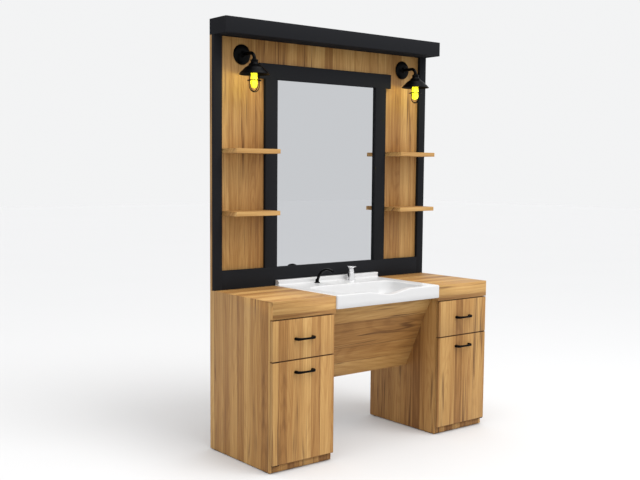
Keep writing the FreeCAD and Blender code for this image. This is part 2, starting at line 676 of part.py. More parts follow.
def make_taps():
    """Spout base, spout, mixer body, turning head and lifting lever."""
    centre = Vector(SPOUT_X, SPOUT_Y, 0)
    base = faceted(
        [(0, TAIL_Z), (10.0, TAIL_Z), (10.0, DECK_Z), (15.0, DECK_Z), (15.0, DECK_Z + 3.0), (10.0, DECK_Z + 6.0),
         (10.0, BASE_TOP), (0, BASE_TOP)],
        centre,
    )
    base_bore = rod(centre + Vector(0, 0, BASE_TOP), -Z_AXIS, STEM_R + PIVOT_PLAY, 20.0)
    save("spout_base", base.fuse(tail_nut(centre, 10.0, 18.0)).cut(base_bore).removeSplitter())
    save("spout", spout())

    mixer = Vector(MIXER_X, MIXER_Y, 0)
    body = faceted(
        [(0, TAIL_Z), (16.0, TAIL_Z), (16.0, DECK_Z), (24.0, DECK_Z), (21.5, 822.0), (17.5, BODY_TOP), (0, BODY_TOP)],
        mixer,
    )
    body_bore = rod(mixer + Vector(0, 0, BODY_TOP), -Z_AXIS, SPIGOT_R + PIVOT_PLAY, 16.0)
    save("mixer_body", body.fuse(tail_nut(mixer, 16.0, 28.0)).cut(body_bore).removeSplitter())

    skirt = BODY_TOP + 0.5
    head = faceted([(0, skirt), (HEAD_R, skirt), (HEAD_NECK_R, HEAD_TOP), (0, HEAD_TOP)], mixer)
    spigot = rod(mixer + Vector(0, 0, skirt), -Z_AXIS, SPIGOT_R, 14.5)
    hinge = mixer + Vector(-BARREL_LENGTH / 2, BARREL_Y, HEAD_TOP + 0.25)
    play = Vector(PIVOT_PLAY, 0, 0)
    groove = rod(hinge - play, X_AXIS, BARREL_R + PIVOT_PLAY, BARREL_LENGTH + 2 * PIVOT_PLAY)
    save("mixer_head", head.fuse(spigot).cut(groove).removeSplitter())

    foot, plate_z = HEAD_TOP + 0.5, HEAD_TOP + 12.0
    plate_top = plate_z + PLATE_THICK
    grip = faceted(
        [(0, foot), (BARREL_Y, foot), (PLATE_R, plate_z), (PLATE_R, plate_top), (0, plate_top)],
        mixer,
    )
    barrel = rod(hinge, X_AXIS, BARREL_R, BARREL_LENGTH)
    corners = [(-12, -15, plate_z), (12, -15, plate_z), (8, -33, plate_z), (-8, -33, plate_z)]
    paddle = prism(corners, Z_AXIS * PLATE_THICK)
    paddle.translate(mixer)
    save("mixer_lever", grip.fuse([barrel, paddle]).removeSplitter())


# ---- mirror wall ----
ROD_R = 5.0
ROD_X = (-HALF + STILE + 50.0, -MIRROR_HALF - INNER_STILE - 50.0)
ROD_DEPTH = 100.0
ROD_SEAT = 12.0            # how far the rods stand in the back panel


def shelf_rods():
    """The hidden rods of the left shelves, as (x, z) places."""
    return [(x, z + SHELF_THICK / 2) for z in SHELF_UNDERSIDES for x in ROD_X]


def rod_holes(y, length):
    """Holes for the left shelf rods, from depth y towards the front."""
    return [peg(Vector(x, y, z), -Y_AXIS, ROD_R + PIVOT_PLAY, length) for x, z in shelf_rods()]


def bottom_rail():
    """The bottom rail, cut out below to stand over the basin's upstand."""
    rail = block((-HALF + STILE, HALF - STILE), (FRAME_FACE, -BOARD), (WORKTOP_Z, BOTTOM_RAIL_TOP))
    notch = block((-BASIN_HALF - 1.0, BASIN_HALF + 1.0), (FRAME_FACE, -BOARD), (WORKTOP_Z, UPSTAND_TOP + 0.5))
    return rail.cut(notch)


def make_wall():
    """Back panel, black frame, mirror and shelves."""
    panel = block((-HALF, HALF), (-BOARD, 0), (WORKTOP_Z, PANEL_TOP))
    holes = rod_holes(-BOARD + ROD_SEAT, ROD_SEAT)
    save("back_panel", panel.cut(holes + [mirrored(hole) for hole in holes]))
    depth = (FRAME_FACE, -BOARD)
    stile_inner = MIRROR_HALF + INNER_STILE
    save("outer_stiles", *pair(block((-HALF, -HALF + STILE), depth, (WORKTOP_Z, PANEL_TOP))))
    save("inner_stiles", *pair(block((-stile_inner, -MIRROR_HALF), depth, (BOTTOM_RAIL_TOP, TOP_RAIL[0]))))
    save("top_rail", block((-TOP_RAIL_HALF, TOP_RAIL_HALF), depth, TOP_RAIL))
    save("bottom_rail", bottom_rail())
    save("mirror", block((-MIRROR_HALF, MIRROR_HALF), (-BOARD - 5.0, -BOARD), (BOTTOM_RAIL_TOP, TOP_RAIL[0])))

    bay = (-HALF + STILE, -stile_inner)
    shelves = []
    for underside in SHELF_UNDERSIDES:
        shelves.append(block(bay, (-BOARD - SHELF_DEPTH, -BOARD), (underside, underside + SHELF_THICK)))
    bored = Part.makeCompound([shelf.cut(rod_holes(-BOARD, ROD_DEPTH)) for shelf in shelves])
    save_twins("shelves", bored)
    rods = []
    for x, z in shelf_rods():
        rods += pair(peg(Vector(x, -BOARD + ROD_SEAT, z), -Y_AXIS, ROD_R, ROD_DEPTH + ROD_SEAT - 4.0))
    save("shelf_rods", *rods)


def make_cornice():
    """The hollow box on top of the wall: front, top and bottom boards and two ends."""
    front = -CORNICE_DEPTH
    inner = (-OUTER_INNER, OUTER_INNER)
    save("cornice_front", block((-HALF, HALF), (front, front + BOARD), (PANEL_TOP, HEIGHT)))
    boards = [
        block(inner, (front + BOARD, 0), (PANEL_TOP, PANEL_TOP + BOARD)),
        block(inner, (front + BOARD, 0), (HEIGHT - BOARD, HEIGHT)),
    ]
    save("cornice_boards", *boards)
    save("cornice_ends", *pair(block((-HALF, -OUTER_INNER), (front + BOARD, 0), (PANEL_TOP, HEIGHT))))


# ---- lamps ----
ARM_R = 8.5
ARM_BEND = 30.0
LAMP_REACH = 127.0         # from the wall to the lamp's axis
BRIM_Z = 1854.5
SHADE_R = 76.0
GLASS_R = 18.5
GLASS_FOOT = 1789.0
COLLAR_TOP = 1926.0
HOLDER_FOOT = 1885.0       # underside of the lamp's holder, where the glass and bulb start
SHADE_TOP = 1901.0
CAGE_R = 29.0
WIRE_R = 2.0
CAGE_BOTTOM = 1769.0
CAGE_TOP = 1894.1          # where the cage's wires meet the inside of the shade
CAGE_RING_Z = 1826.0
BULB_R = 10.5
BULB_FOOT = 1810.0


def lamp_bracket():
    """Wall rosette with the gooseneck arm that turns down to the lamp."""
    face = Vector(-LAMP_X, -BOARD, LAMP_Z)
    rosette = faceted(
        [(0, 0), (50.0, 0), (50.0, 5.0), (44.0, 10.0), (30.0, 13.0), (15.0, 13.0), (13.0, 20.0), (0, 20.0)],
        face,
        -Y_AXIS,
    )
    start = Vector(-LAMP_X, -BOARD - 10.0, LAMP_Z)
    bend = Vector(-LAMP_X, -LAMP_REACH + ARM_BEND, LAMP_Z)
    slack = ARM_BEND * (1 - math.sqrt(0.5))
    middle = Vector(-LAMP_X, -LAMP_REACH + slack, LAMP_Z - slack)
    drop = Vector(-LAMP_X, -LAMP_REACH, LAMP_Z - ARM_BEND)
    end = Vector(-LAMP_X, -LAMP_REACH, COLLAR_TOP)
    path = Part.Wire([
        Part.LineSegment(start, bend).toShape(),
        Part.Arc(bend, middle, drop).toShape(),
        Part.LineSegment(drop, end).toShape(),
    ])
    return rosette.fuse(bent_bar(path, start, -Y_AXIS, ARM_R)).removeSplitter()


def cage_bow(axis, turn, bottom):
    """One wire of the cage: a bow below the glass with two legs up to the shade, in a plane turned about the axis."""
    chords = 9
    flat = math.cos(math.pi / chords / 2)
    centre = bottom + (CAGE_R + WIRE_R) * flat
    sides = []
    for radius in (CAGE_R + WIRE_R, CAGE_R - WIRE_R):
        angles = [math.pi * step / chords for step in range(chords + 1)]
        bow = [(radius * math.cos(angle), centre - radius * math.sin(angle)) for angle in angles]
        sides.append([(radius, CAGE_TOP)] + bow + [(-radius, CAGE_TOP)])
    outer, inner = sides
    strip = prism([(x, -WIRE_R, z) for x, z in outer + inner[::-1]], Y_AXIS * 2 * WIRE_R)
    strip.rotate(Vector(0, 0, 0), Z_AXIS, turn)
    strip.translate(axis)
    return strip


def lamp_cage(axis):
    """Two bows, one crossing just above the other below the glass, and a ring round both."""
    thickness = 2 * WIRE_R * math.cos(math.pi / 18)
    inside = CAGE_R + WIRE_R + 0.2
    outside = inside + 2 * WIRE_R
    low, high = CAGE_RING_Z - WIRE_R, CAGE_RING_Z + WIRE_R
    ring = faceted([(inside, low), (outside, low), (outside, high), (inside, high)], axis, sides=24)
    return [cage_bow(axis, 0.0, CAGE_BOTTOM), cage_bow(axis, 90.0, CAGE_BOTTOM + thickness), ring]


def make_lamps():
    """Two like lamps: bracket, holder, shade, glass, cage and bulb."""
    axis = Vector(-LAMP_X, -LAMP_REACH, 0)
    save("lamp_brackets", *pair(lamp_bracket()))
    holder = faceted(
        [(0, HOLDER_FOOT), (18.5, HOLDER_FOOT), (18.5, SHADE_TOP), (27.0, SHADE_TOP), (27.0, SHADE_TOP + 3.0),
         (18.0, COLLAR_TOP), (0, COLLAR_TOP)],
        axis,
        sides=20,
    )
    save("lamp_holders", *pair(holder))
    shade = faceted(
        [(18.5, SHADE_TOP), (27.0, SHADE_TOP), (45.0, 1886.5), (SHADE_R, BRIM_Z + 1.0), (SHADE_R, BRIM_Z),
         (SHADE_R - 1.5, BRIM_Z), (44.0, 1884.5), (25.0, SHADE_TOP - 2.0), (18.5, SHADE_TOP - 2.0)],
        axis,
        sides=20,
    )
    save("lamp_shades", *pair(shade))
    glass = faceted(
        [(0, GLASS_FOOT), (13.0, GLASS_FOOT + 5.5), (GLASS_R, GLASS_FOOT + 18.5), (GLASS_R, HOLDER_FOOT),
         (GLASS_R - 2.5, HOLDER_FOOT), (GLASS_R - 2.5, GLASS_FOOT + 18.5), (11.3, GLASS_FOOT + 7.2),
         (0, GLASS_FOOT + 2.5)],
        axis,
    )
    save("lamp_glasses", *pair(glass))
    cage = lamp_cage(axis)
    save("lamp_cages", *cage, *[mirrored(piece) for piece in cage])
    bulb = faceted(
        [(0, BULB_FOOT), (BULB_R - 3.1, BULB_FOOT + 3.0), (BULB_R, BULB_FOOT + 10.5), (BULB_R, 1850.0), (7.0, 1858.0),
         (7.0, HOLDER_FOOT), (0, HOLDER_FOOT)],
        axis,
        sides=12,
    )
    save("lamp_bulbs", *pair(bulb))


def main():
    """Make every piece of the station."""
    os.makedirs("parts", exist_ok=True)
    make_pedestals()
    make_worktop()
    make_drawers()
    make_doors()
    make_handles()
    make_basin()
    make_taps()
    make_wall()
    make_cornice()
    make_lamps()


main()
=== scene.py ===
"""Looks of a wall-side salon station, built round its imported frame.

Lengths are in metres on the frame's axes: X to the right seen from the front, Y towards the wall, Z up.
"""

import logging
import math
from dataclasses import dataclass, field
from enum import Enum
from typing import Any, Optional, Sequence, Union

import bmesh
import bpy
from mathutils import Matrix, Vector


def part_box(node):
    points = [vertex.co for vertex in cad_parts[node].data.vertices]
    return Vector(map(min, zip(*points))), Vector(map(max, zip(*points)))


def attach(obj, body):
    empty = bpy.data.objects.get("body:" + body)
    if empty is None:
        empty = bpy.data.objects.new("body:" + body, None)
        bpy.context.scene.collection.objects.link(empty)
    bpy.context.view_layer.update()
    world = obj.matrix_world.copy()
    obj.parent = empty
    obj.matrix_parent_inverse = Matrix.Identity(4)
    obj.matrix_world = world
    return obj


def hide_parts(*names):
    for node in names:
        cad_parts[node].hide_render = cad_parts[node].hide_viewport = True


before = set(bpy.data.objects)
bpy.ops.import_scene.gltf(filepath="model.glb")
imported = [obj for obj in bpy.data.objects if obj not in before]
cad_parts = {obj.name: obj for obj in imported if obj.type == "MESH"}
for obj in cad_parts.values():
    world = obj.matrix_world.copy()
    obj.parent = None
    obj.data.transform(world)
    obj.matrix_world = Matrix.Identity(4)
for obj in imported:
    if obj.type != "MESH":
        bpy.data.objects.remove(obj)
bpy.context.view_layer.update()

log = logging.getLogger("salon_station")

Pair = tuple[float, float]
Colour = tuple[float, float, float]
Link = Union["Signal", float]
Values = Optional[dict[Any, Any]]

RIGHT = Vector((1, 0, 0))
BACK = Vector((0, 1, 0))
UP = Vector((0, 0, 1))
SIDES = {"left": -1, "right": 1}
STATION = "station"
WALL_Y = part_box("back_panel")[1].y
BOARD = 0.018           # thickness of the boards


# ---- shader maths ----
@dataclass(frozen=True)
class Signal:
    """One output of a shader node, so that a pattern can be written as a sum of its parts."""

    shader: "Shader"
    socket: bpy.types.NodeSocket

    def __add__(self, other: Link) -> "Signal":
        """This plus other."""
        return self.shader.calc("ADD", self, other)

    __radd__ = __add__

    def __mul__(self, other: Link) -> "Signal":
        """This times other."""
        return self.shader.calc("MULTIPLY", self, other)

    __rmul__ = __mul__

    def __sub__(self, other: Link) -> "Signal":
        """This less other."""
        return self.shader.calc("SUBTRACT", self, other)

    def __rsub__(self, other: Link) -> "Signal":
        """Other less this."""
        return self.shader.calc("SUBTRACT", other, self)

    def rise(self, low: float, high: float) -> "Signal":
        """A smooth step from 0 where this is under low to 1 where it is over high."""
        limits = {"Value": self, "From Min": low, "From Max": high, "To Min": 0.0, "To Max": 1.0}
        return self.shader.node("MapRange", {"interpolation_type": "SMOOTHSTEP"}, limits)


class Shader:
    """The node tree of one material."""

    def __init__(self, name: str) -> None:
        """Start an empty tree on a new material called name."""
        self.material = bpy.data.materials.new(name)
        self.material.use_nodes = True
        self.tree = self.material.node_tree
        self.tree.nodes.clear()

    def node(self, kind: str, settings: Values = None, inputs: Values = None, out: Any = 0) -> Signal:
        """Add one node.

        Args:
            kind: the node's type, without the "ShaderNode" that it starts with.
            settings: its properties, which are set first; "stops" are a ramp's (place, colour) pairs.
            inputs: links or values by the socket's name or number.
            out: name or number of the output that is wanted.

        Returns:
            That output.
        """
        made = self.tree.nodes.new("ShaderNode" + kind)
        for key, value in (settings or {}).items():
            if key == "stops":
                self._set_stops(made.color_ramp, value)
            else:
                setattr(made, key, value)
        for key, value in (inputs or {}).items():
            if isinstance(value, Signal):
                self.tree.links.new(value.socket, made.inputs[key])
            else:
                made.inputs[key].default_value = value
        return Signal(self, made.outputs[out])

    @staticmethod
    def _set_stops(ramp: bpy.types.ColorRamp, stops: Sequence[tuple[float, Colour]]) -> None:
        """Give a colour ramp its stops."""
        while len(ramp.elements) < len(stops):
            ramp.elements.new(0.5)
        for element, (place, colour) in zip(ramp.elements, stops):
            element.position = place
            element.color = (*colour, 1.0)

    def calc(self, operation: str, first: Link, second: Link = 0.0) -> Signal:
        """One Math node."""
        return self.node("Math", {"operation": operation}, {0: first, 1: second})

    def point(self, x: Link, y: Link, z: Link) -> Signal:
        """A vector of three signals or numbers."""
        return self.node("CombineXYZ", None, {"X": x, "Y": y, "Z": z})

    def place(self) -> tuple[Signal, Signal, Signal]:
        """The object coordinates X, Y and Z."""
        spot = self.node("TexCoord", out="Object")
        return tuple(self.node("SeparateXYZ", None, {0: spot}, out=axis) for axis in range(3))

    def noise(self, vector: Signal, scale: float = 1.0, detail: float = 2.0, rough: float = 0.5) -> Signal:
        """Smooth noise about 0.5."""
        inputs = {"Vector": vector, "Scale": scale, "Detail": detail, "Roughness": rough}
        return self.node("TexNoise", None, inputs)

    def mix(self, share: Link, first: Any, second: Any, blend: str = "MIX") -> Signal:
        """A mix of two colours.

        Args:
            share: how much of the second colour there is.
            first: a colour or a colour signal.
            second: another.
            blend: how the second is laid over the first.

        Returns:
            The mixed colour.
        """
        first, second = (value if isinstance(value, Signal) else (*value, 1.0) for value in (first, second))
        settings = {"data_type": "RGBA", "blend_type": blend}
        return self.node("Mix", settings, {0: share, 6: first, 7: second}, 2)

    def finish(self, height: Signal | None, relief: float, sockets: dict[str, Any]) -> bpy.types.Material:
        """Close the tree with a Principled surface.

        Args:
            height: relief pattern from 0 to 1, or None.
            relief: depth of the pattern in metres.
            sockets: values and links of the Principled node.

        Returns:
            The finished material.
        """
        if height is not None:
            bump = self.node("Bump", None, {"Distance": relief, "Height": height})
            sockets = {**sockets, "Normal": bump}
        surface = self.node("BsdfPrincipled", None, sockets)
        output = self.tree.nodes.new("ShaderNodeOutputMaterial")
        self.tree.links.new(surface.socket, output.inputs["Surface"])
        return self.material


# ---- finishes ----
class Grain(Enum):
    """Which way the grain of a board runs."""

    UPRIGHT = "upright"
    LEVEL = "level"


@dataclass(frozen=True)
class Oak:
    """Honey oak laminate printed as planks of changing width, with fibres, flames and dark streaks."""

    name: str
    grain: Grain
    slot: str = "oak"
    plank: float = 0.062        # mean width of a printed plank
    shift: float = 0.0          # slides the pattern across the grain
    tone: float = 0.0           # makes the whole board lighter or darker: its own tone, and painted shade on the knee sides, apron, plinth and right-hand fronts
    band_and_gap_shade_node: str = ""            # the node whose front shows a dark line along its edges: edge banding and painted shade of the gaps
    band_and_gap_darkness: float = 0.75          # how dark that line is
    upright_band_and_gap_shade: float = 0.35  # its share on the upright edges
    contrast: float = 0.34      # from plank to plank
    base: float = 0.375         # brings the sum of the patterns into the colour ramp's range
    relief: float = 0.00020     # depth of the fibres and pores
    dark: Colour = (0.190, 0.082, 0.022)
    brown: Colour = (0.335, 0.165, 0.048)
    honey: Colour = (0.470, 0.266, 0.089)
    pale: Colour = (0.630, 0.405, 0.158)
    streak_and_gap_shade: Colour = (0.095, 0.038, 0.012)

    def build(self) -> bpy.types.Material:
        """The material of this finish."""
        sh = Shader(self.name)
        x, y, z = sh.place()
        across, along = (x + y, z) if self.grain is Grain.UPRIGHT else (y + z, x)
        across = across + self.shift
        # planks side by side, each with its own tone and its own stretch of every pattern
        cell = {"W": across, "Scale": 1 / self.plank}
        planks = sh.node("TexVoronoi", {"voronoi_dimensions": "1D"}, cell, "Color")
        tone, lean, slide = (sh.node("SeparateColor", None, {0: planks}, channel) for channel in range(3))
        edge = {"voronoi_dimensions": "1D", "feature": "DISTANCE_TO_EDGE"}
        seam = 1 - sh.node("TexVoronoi", edge, cell, "Distance").rise(0.006, 0.034)

        # fibres, strands and flames, which bend along the board
        drift = sh.noise(sh.point(across * 5, along * 1.4, slide * 20), detail=2) - 0.5
        bent = across + drift * 0.030
        fibre = sh.noise(sh.point(bent * 330, along * 7, tone * 31), detail=3, rough=0.65)
        strand = sh.noise(sh.point(bent * 95, along * 1.6, slide * 53), detail=3, rough=0.6)
        figure = sh.noise(sh.point(bent * 22, along * 1.1, slide * 17), detail=2)
        hills = sh.noise(sh.point(bent * 11, along * 1.0, lean * 29), detail=1, rough=0.3)
        rings = sh.calc("SINE", hills * 120).rise(-0.2, 1.0)
        shade = tone * self.contrast + figure * 0.36 + strand * 0.60 + fibre * 0.42 - rings * 0.060
        shade = shade - self.base + self.tone
        stops = ((0.10, self.dark), (0.33, self.brown), (0.56, self.honey), (0.88, self.pale))
        colour = sh.node("ValToRGB", {"stops": stops}, {0: shade}, "Color")
        # dark cracks and burls here and there, seams worn between planks, and pores
        vein = sh.noise(sh.point(bent * 30, along * 0.50, slide * 41), detail=3, rough=0.5)
        crack = 1 - sh.calc("ABSOLUTE", vein - 0.5).rise(0.004, 0.026)
        where = sh.noise(sh.point(across * 11, along * 1.6, tone * 13), detail=2).rise(0.50, 0.60)
        burl = sh.noise(sh.point(bent * 90, along * 1.8, lean * 23), detail=4, rough=0.55).rise(0.62, 0.72)
        worn = sh.noise(sh.point(across * 3, along * 3.0, tone * 7), detail=1).rise(0.40, 0.62)
        colour = sh.mix(crack * where * 0.84 + burl * 0.26 + seam * worn * 0.55, colour, self.streak_and_gap_shade)
        # painted shade: a dark line along the board's edges, for the edge banding and the shade in the gaps
        # round the board
        if self.band_and_gap_shade_node:
            colour = sh.mix(self.band_and_gap_shade_line(sh, x, z) * self.band_and_gap_darkness, colour, self.streak_and_gap_shade)
        pores = sh.noise(sh.point(across * 900, along * 26, tone * 5), detail=1).rise(0.60, 0.72)
        colour = sh.mix(pores * 0.16, colour, self.dark)
        sockets = {"Base Color": colour, "Roughness": 0.50 + fibre * 0.14, "Specular IOR Level": 0.25}
        return sh.finish(fibre * 0.5 - pores * 0.5 - seam * 0.4 - crack * where * 0.5, self.relief, sockets)

    def band_and_gap_shade_line(self, sh: Shader, x: Signal, z: Signal) -> Signal:
        """The thin dark line along the board's edges: its edge banding and painted shade in the gap beside
        it.

        Args:
            sh: the tree that the line is drawn in.
            x: the object coordinate X.
            z: the object coordinate Z.

        Returns:
            1 on the line and 0 elsewhere.
        """
        low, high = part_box(self.band_and_gap_shade_node)
        far = max(abs(low.x), abs(high.x))
        near = min(abs(low.x), abs(high.x)) if low.x * high.x > 0 else -far
        from_end = (far - near) / 2 - sh.calc("ABSOLUTE", sh.calc("ABSOLUTE", x) - (far + near) / 2)
        from_top = (high.z - low.z) / 2 - sh.calc("ABSOLUTE", z - (high.z + low.z) / 2)
        upright, level = (1 - distance.rise(0.0010, 0.0024) for distance in (from_end, from_top))
        return sh.calc("MAXIMUM", upright * self.upright_band_and_gap_shade, level)


class Texture(Enum):
    """How the surface of a finish is broken up."""

    PEBBLE = "pebble"           # powder coat and moulded plastic
    SMOOTH = "smooth"           # glaze, glass and plating
    BRUSHED = "brushed"         # drawn or rolled metal
    SPANGLE = "spangle"         # zinc crystals


@dataclass(frozen=True)
class Coat:
    """A painted, plated, glazed or moulded finish."""

    name: str
    slot: str
    colour: Colour
    roughness: float
    texture: Texture
    metallic: float = 0.0
    coat: float = 0.0
    specular: float = 0.5
    spread: float = 0.06        # how much the colour changes over the surface
    grit: float = 900.0         # cells of the texture in a metre
    relief: float = 0.00006
    alpha: float = 1.0
    glow: Colour = (0.0, 0.0, 0.0)
    glow_strength: float = 0.0

    def build(self) -> bpy.types.Material:
        """The material of this finish."""
        sh = Shader(self.name)
        x, y, z = sh.place()
        spot = sh.point(x, y, z)
        clouds = sh.noise(spot, 5.0, 3.0, 0.55)
        fine = sh.noise(spot, self.grit, 2.0, 0.6)
        height: Signal | None = fine
        if self.texture is Texture.SMOOTH:
            fine = sh.noise(spot, self.grit * 0.04, 2.0, 0.5)
            height = fine if self.relief else None
        elif self.texture is Texture.BRUSHED:
            fine = sh.noise(sh.point(x * 60, (y + z) * 1400, z * 1400), detail=2)
            height = fine
        elif self.texture is Texture.SPANGLE:
            cells = {"Vector": spot, "Scale": self.grit}
            crystals = sh.node("TexVoronoi", None, cells, "Color")
            fine = sh.node("SeparateColor", None, {0: crystals})
            height = None
        shade = (clouds - 0.5) * (2 * self.spread) + (fine - 0.5) * self.spread
        darker = tuple(value * (1 - 2 * self.spread) for value in self.colour)
        lighter = tuple(min(1.0, value * (1 + 2 * self.spread)) for value in self.colour)
        colour = sh.mix(shade + 0.5, darker, lighter)
        dull = (clouds - 0.5) * (self.roughness * 0.35) + self.roughness
        sockets: dict[str, Any] = {
            "Base Color": colour,
            "Roughness": sh.calc("MAXIMUM", dull, 0.0),
            "Metallic": self.metallic,
            "Coat Weight": self.coat,
            "Coat Roughness": 0.05,
            "Specular IOR Level": self.specular,
            "Alpha": self.alpha,
        }
        if self.glow_strength:
            weaker = tuple(value * 0.9 for value in self.glow)
            sockets["Emission Color"] = sh.mix(clouds, self.glow, weaker)
            sockets["Emission Strength"] = self.glow_strength
        return sh.finish(height, self.relief, sockets)


Finish = Union[Oak, Coat]

OAK_UPRIGHT = Oak("honey_oak_upright", Grain.UPRIGHT, tone=-0.03)
# the fronts and the wall panel get a dark line along their edges: edge banding and painted shade in the gaps
# round the fronts, painted shade on the wall panel's ends
OAK_DRAWER = Oak("honey_oak_drawer", Grain.UPRIGHT, band_and_gap_shade_node="drawer_front_right")
OAK_DOOR = Oak("honey_oak_door", Grain.UPRIGHT, band_and_gap_shade_node="door_right")
# painted shade: the right-hand fronts are darker than the left-hand ones, against the stronger light that
# falls on that side
OAK_DRAWER_RIGHT_SHADED = Oak("honey_oak_drawer_right_painted_shade", Grain.UPRIGHT, tone=-0.07, band_and_gap_shade_node="drawer_front_right")
OAK_DOOR_RIGHT_SHADED = Oak("honey_oak_door_right_painted_shade", Grain.UPRIGHT, tone=-0.07, band_and_gap_shade_node="door_right")
OAK_WALL = Oak("honey_oak_wall", Grain.UPRIGHT, band_and_gap_shade_node="back_panel", band_and_gap_darkness=0.42, upright_band_and_gap_shade=1.0)
# painted shade: the inner sides round the knee space are darkened for the shade that falls there
OAK_KNEE_SHADED = Oak("honey_oak_knee_painted_shade", Grain.UPRIGHT, tone=-0.19)
# painted shade: the apron under the worktops and basin is darkened for the shade there
OAK_APRON_SHADED = Oak("honey_oak_apron_painted_shade", Grain.LEVEL, shift=0.31, tone=-0.05)
OAK_LEVEL = Oak("honey_oak_level", Grain.LEVEL, shift=0.31)
# painted shade: the plinth, set back under the doors, is darkened for the shadow that the doors cast on it
OAK_PLINTH_SHADED = Oak("honey_oak_plinth_painted_shade", Grain.UPRIGHT, shift=0.9, tone=-0.12)
OAK_INNER = Oak("honey_oak_inner", Grain.LEVEL, shift=0.77, tone=-0.03)
BLACK_BOARD = Coat("black_laminate", "black_board", (0.0150, 0.0155, 0.0175), 0.72, Texture.PEBBLE,
                   specular=0.02, spread=0.10)
POWDER = Coat("black_powder_coat", "black_metal", (0.0008, 0.0008, 0.0011), 0.34, Texture.PEBBLE,
              specular=0.06, spread=0.12, grit=1600)
GLAZE = Coat("white_glaze", "ceramic", (0.630, 0.630, 0.634), 0.30, Texture.SMOOTH, coat=0.06,
             specular=0.3, spread=0.010, relief=0.0)
CHROME = Coat("chrome_plate", "chrome", (0.84, 0.84, 0.85), 0.08, Texture.SMOOTH, 1.0,
              spread=0.02, relief=0.0)
ZINC = Coat("zinc_plate", "zinc_steel", (0.60, 0.61, 0.63), 0.34, Texture.SPANGLE, 0.95,
            spread=0.10, grit=130)
MIRROR = Coat("silvered_glass", "mirror", (0.640, 0.652, 0.672), 0.012, Texture.SMOOTH, 1.0,
              spread=0.004, relief=0.0)
MELAMINE = Coat("white_melamine", "drawer_board", (0.74, 0.73, 0.70), 0.48, Texture.PEBBLE, spread=0.03)
TRAP_WHITE = Coat("trap_plastic", "trap_plastic", (0.80, 0.80, 0.79), 0.25, Texture.SMOOTH,
                  spread=0.02, relief=0.0)
GLIDE = Coat("glide_plastic", "glide_plastic", (0.03, 0.03, 0.03), 0.5, Texture.PEBBLE)
SILICONE = Coat("silicone", "ceramic", (0.80, 0.80, 0.79), 0.35, Texture.SMOOTH, spread=0.02)
LAMP_GLASS = Coat("yellow_glass", "lamp_glass", (0.95, 0.86, 0.03), 0.06, Texture.SMOOTH, coat=0.6,
                  spread=0.03, relief=0.0, alpha=0.82, glow=(0.80, 0.92, 0.045), glow_strength=0.38)
BULB = Coat("lit_bulb", "bulb_glass", (1.0, 0.90, 0.4), 0.15, Texture.SMOOTH, spread=0.02, relief=0.0,
            glow=(1.0, 0.92, 0.25), glow_strength=3.0)


# ---- mesh helpers ----
def arc(span: float, steps: int) -> list[Pair]:
    """Cosine and sine at even steps from 0 to span radians, both ends included."""
    angles = [span * step / steps for step in range(steps + 1)]
    return [(math.cos(angle), math.sin(angle)) for angle in angles]


def circle(sides: int) -> list[Pair]:
    """Cosine and sine once round."""
    return arc(2 * math.pi, sides)[:-1]


def in_scene(name: str, data: bpy.types.ID, place: Vector = Vector()) -> bpy.types.Object:
    """Make an object of some data.

    Args:
        name: the object's name.
        data: its mesh, curve, light or camera.
        place: where it goes; a finished piece stays at the origin.

    Returns:
        The object, linked to the scene.
    """
    made = bpy.data.objects.new(name, data)
    made.location = place
    bpy.context.scene.collection.objects.link(made)
    return made


def add_light(name: str, kind: str, place: Vector, energy: float, colour: Colour) -> bpy.types.Object:
    """Make a light, whose size is left to the caller.

    Args:
        name: the light's name.
        kind: POINT, AREA or SUN.
        place: where it goes.
        energy: its power in watts, or a sun's strength.
        colour: its colour.

    Returns:
        The light's object.
    """
    data = bpy.data.lights.new(name, kind)
    data.energy = energy
    data.color = colour
    return in_scene(name, data, place)


def softened(corners: Sequence[Pair], radius: float, steps: int = 4) -> list[Pair]:
    """Round the inner corners of an open row of points.

    Args:
        corners: the points.
        radius: how far from a corner its curve starts, at most 0.45 of the shorter side.
        steps: points of each curve.

    Returns:
        The longer row of points.
    """
    points = [Vector(corner) for corner in corners]
    soft = [points[0]]
    for before, here, after in zip(points, points[1:], points[2:]):
        reach = min(radius, 0.45 * (before - here).length, 0.45 * (after - here).length)
        start = here + (before - here).normalized() * reach
        end = here + (after - here).normalized() * reach
        for step in range(steps + 1):
            share = step / steps
            soft.append(start.lerp(here, share).lerp(here.lerp(end, share), share))
    soft.append(points[-1])
    return [tuple(point) for point in soft]


def as_object(name: str, shape: bmesh.types.BMesh, sharp: float = 38.0) -> bpy.types.Object:
    """Close a bmesh into an object with smooth faces and sharp edges over an angle.

    Args:
        name: the object's name.
        shape: the mesh, which is freed.
        sharp: degrees from which an edge stays sharp.

    Returns:
        The object, linked to the scene.
    """
    bmesh.ops.remove_doubles(shape, verts=shape.verts, dist=1e-6)
    bmesh.ops.recalc_face_normals(shape, faces=shape.faces)
    mesh = bpy.data.meshes.new(name)
    shape.to_mesh(mesh)
    shape.free()
    mesh.shade_smooth()
    mesh.set_sharp_from_angle(angle=math.radians(sharp))
    return in_scene(name, mesh)


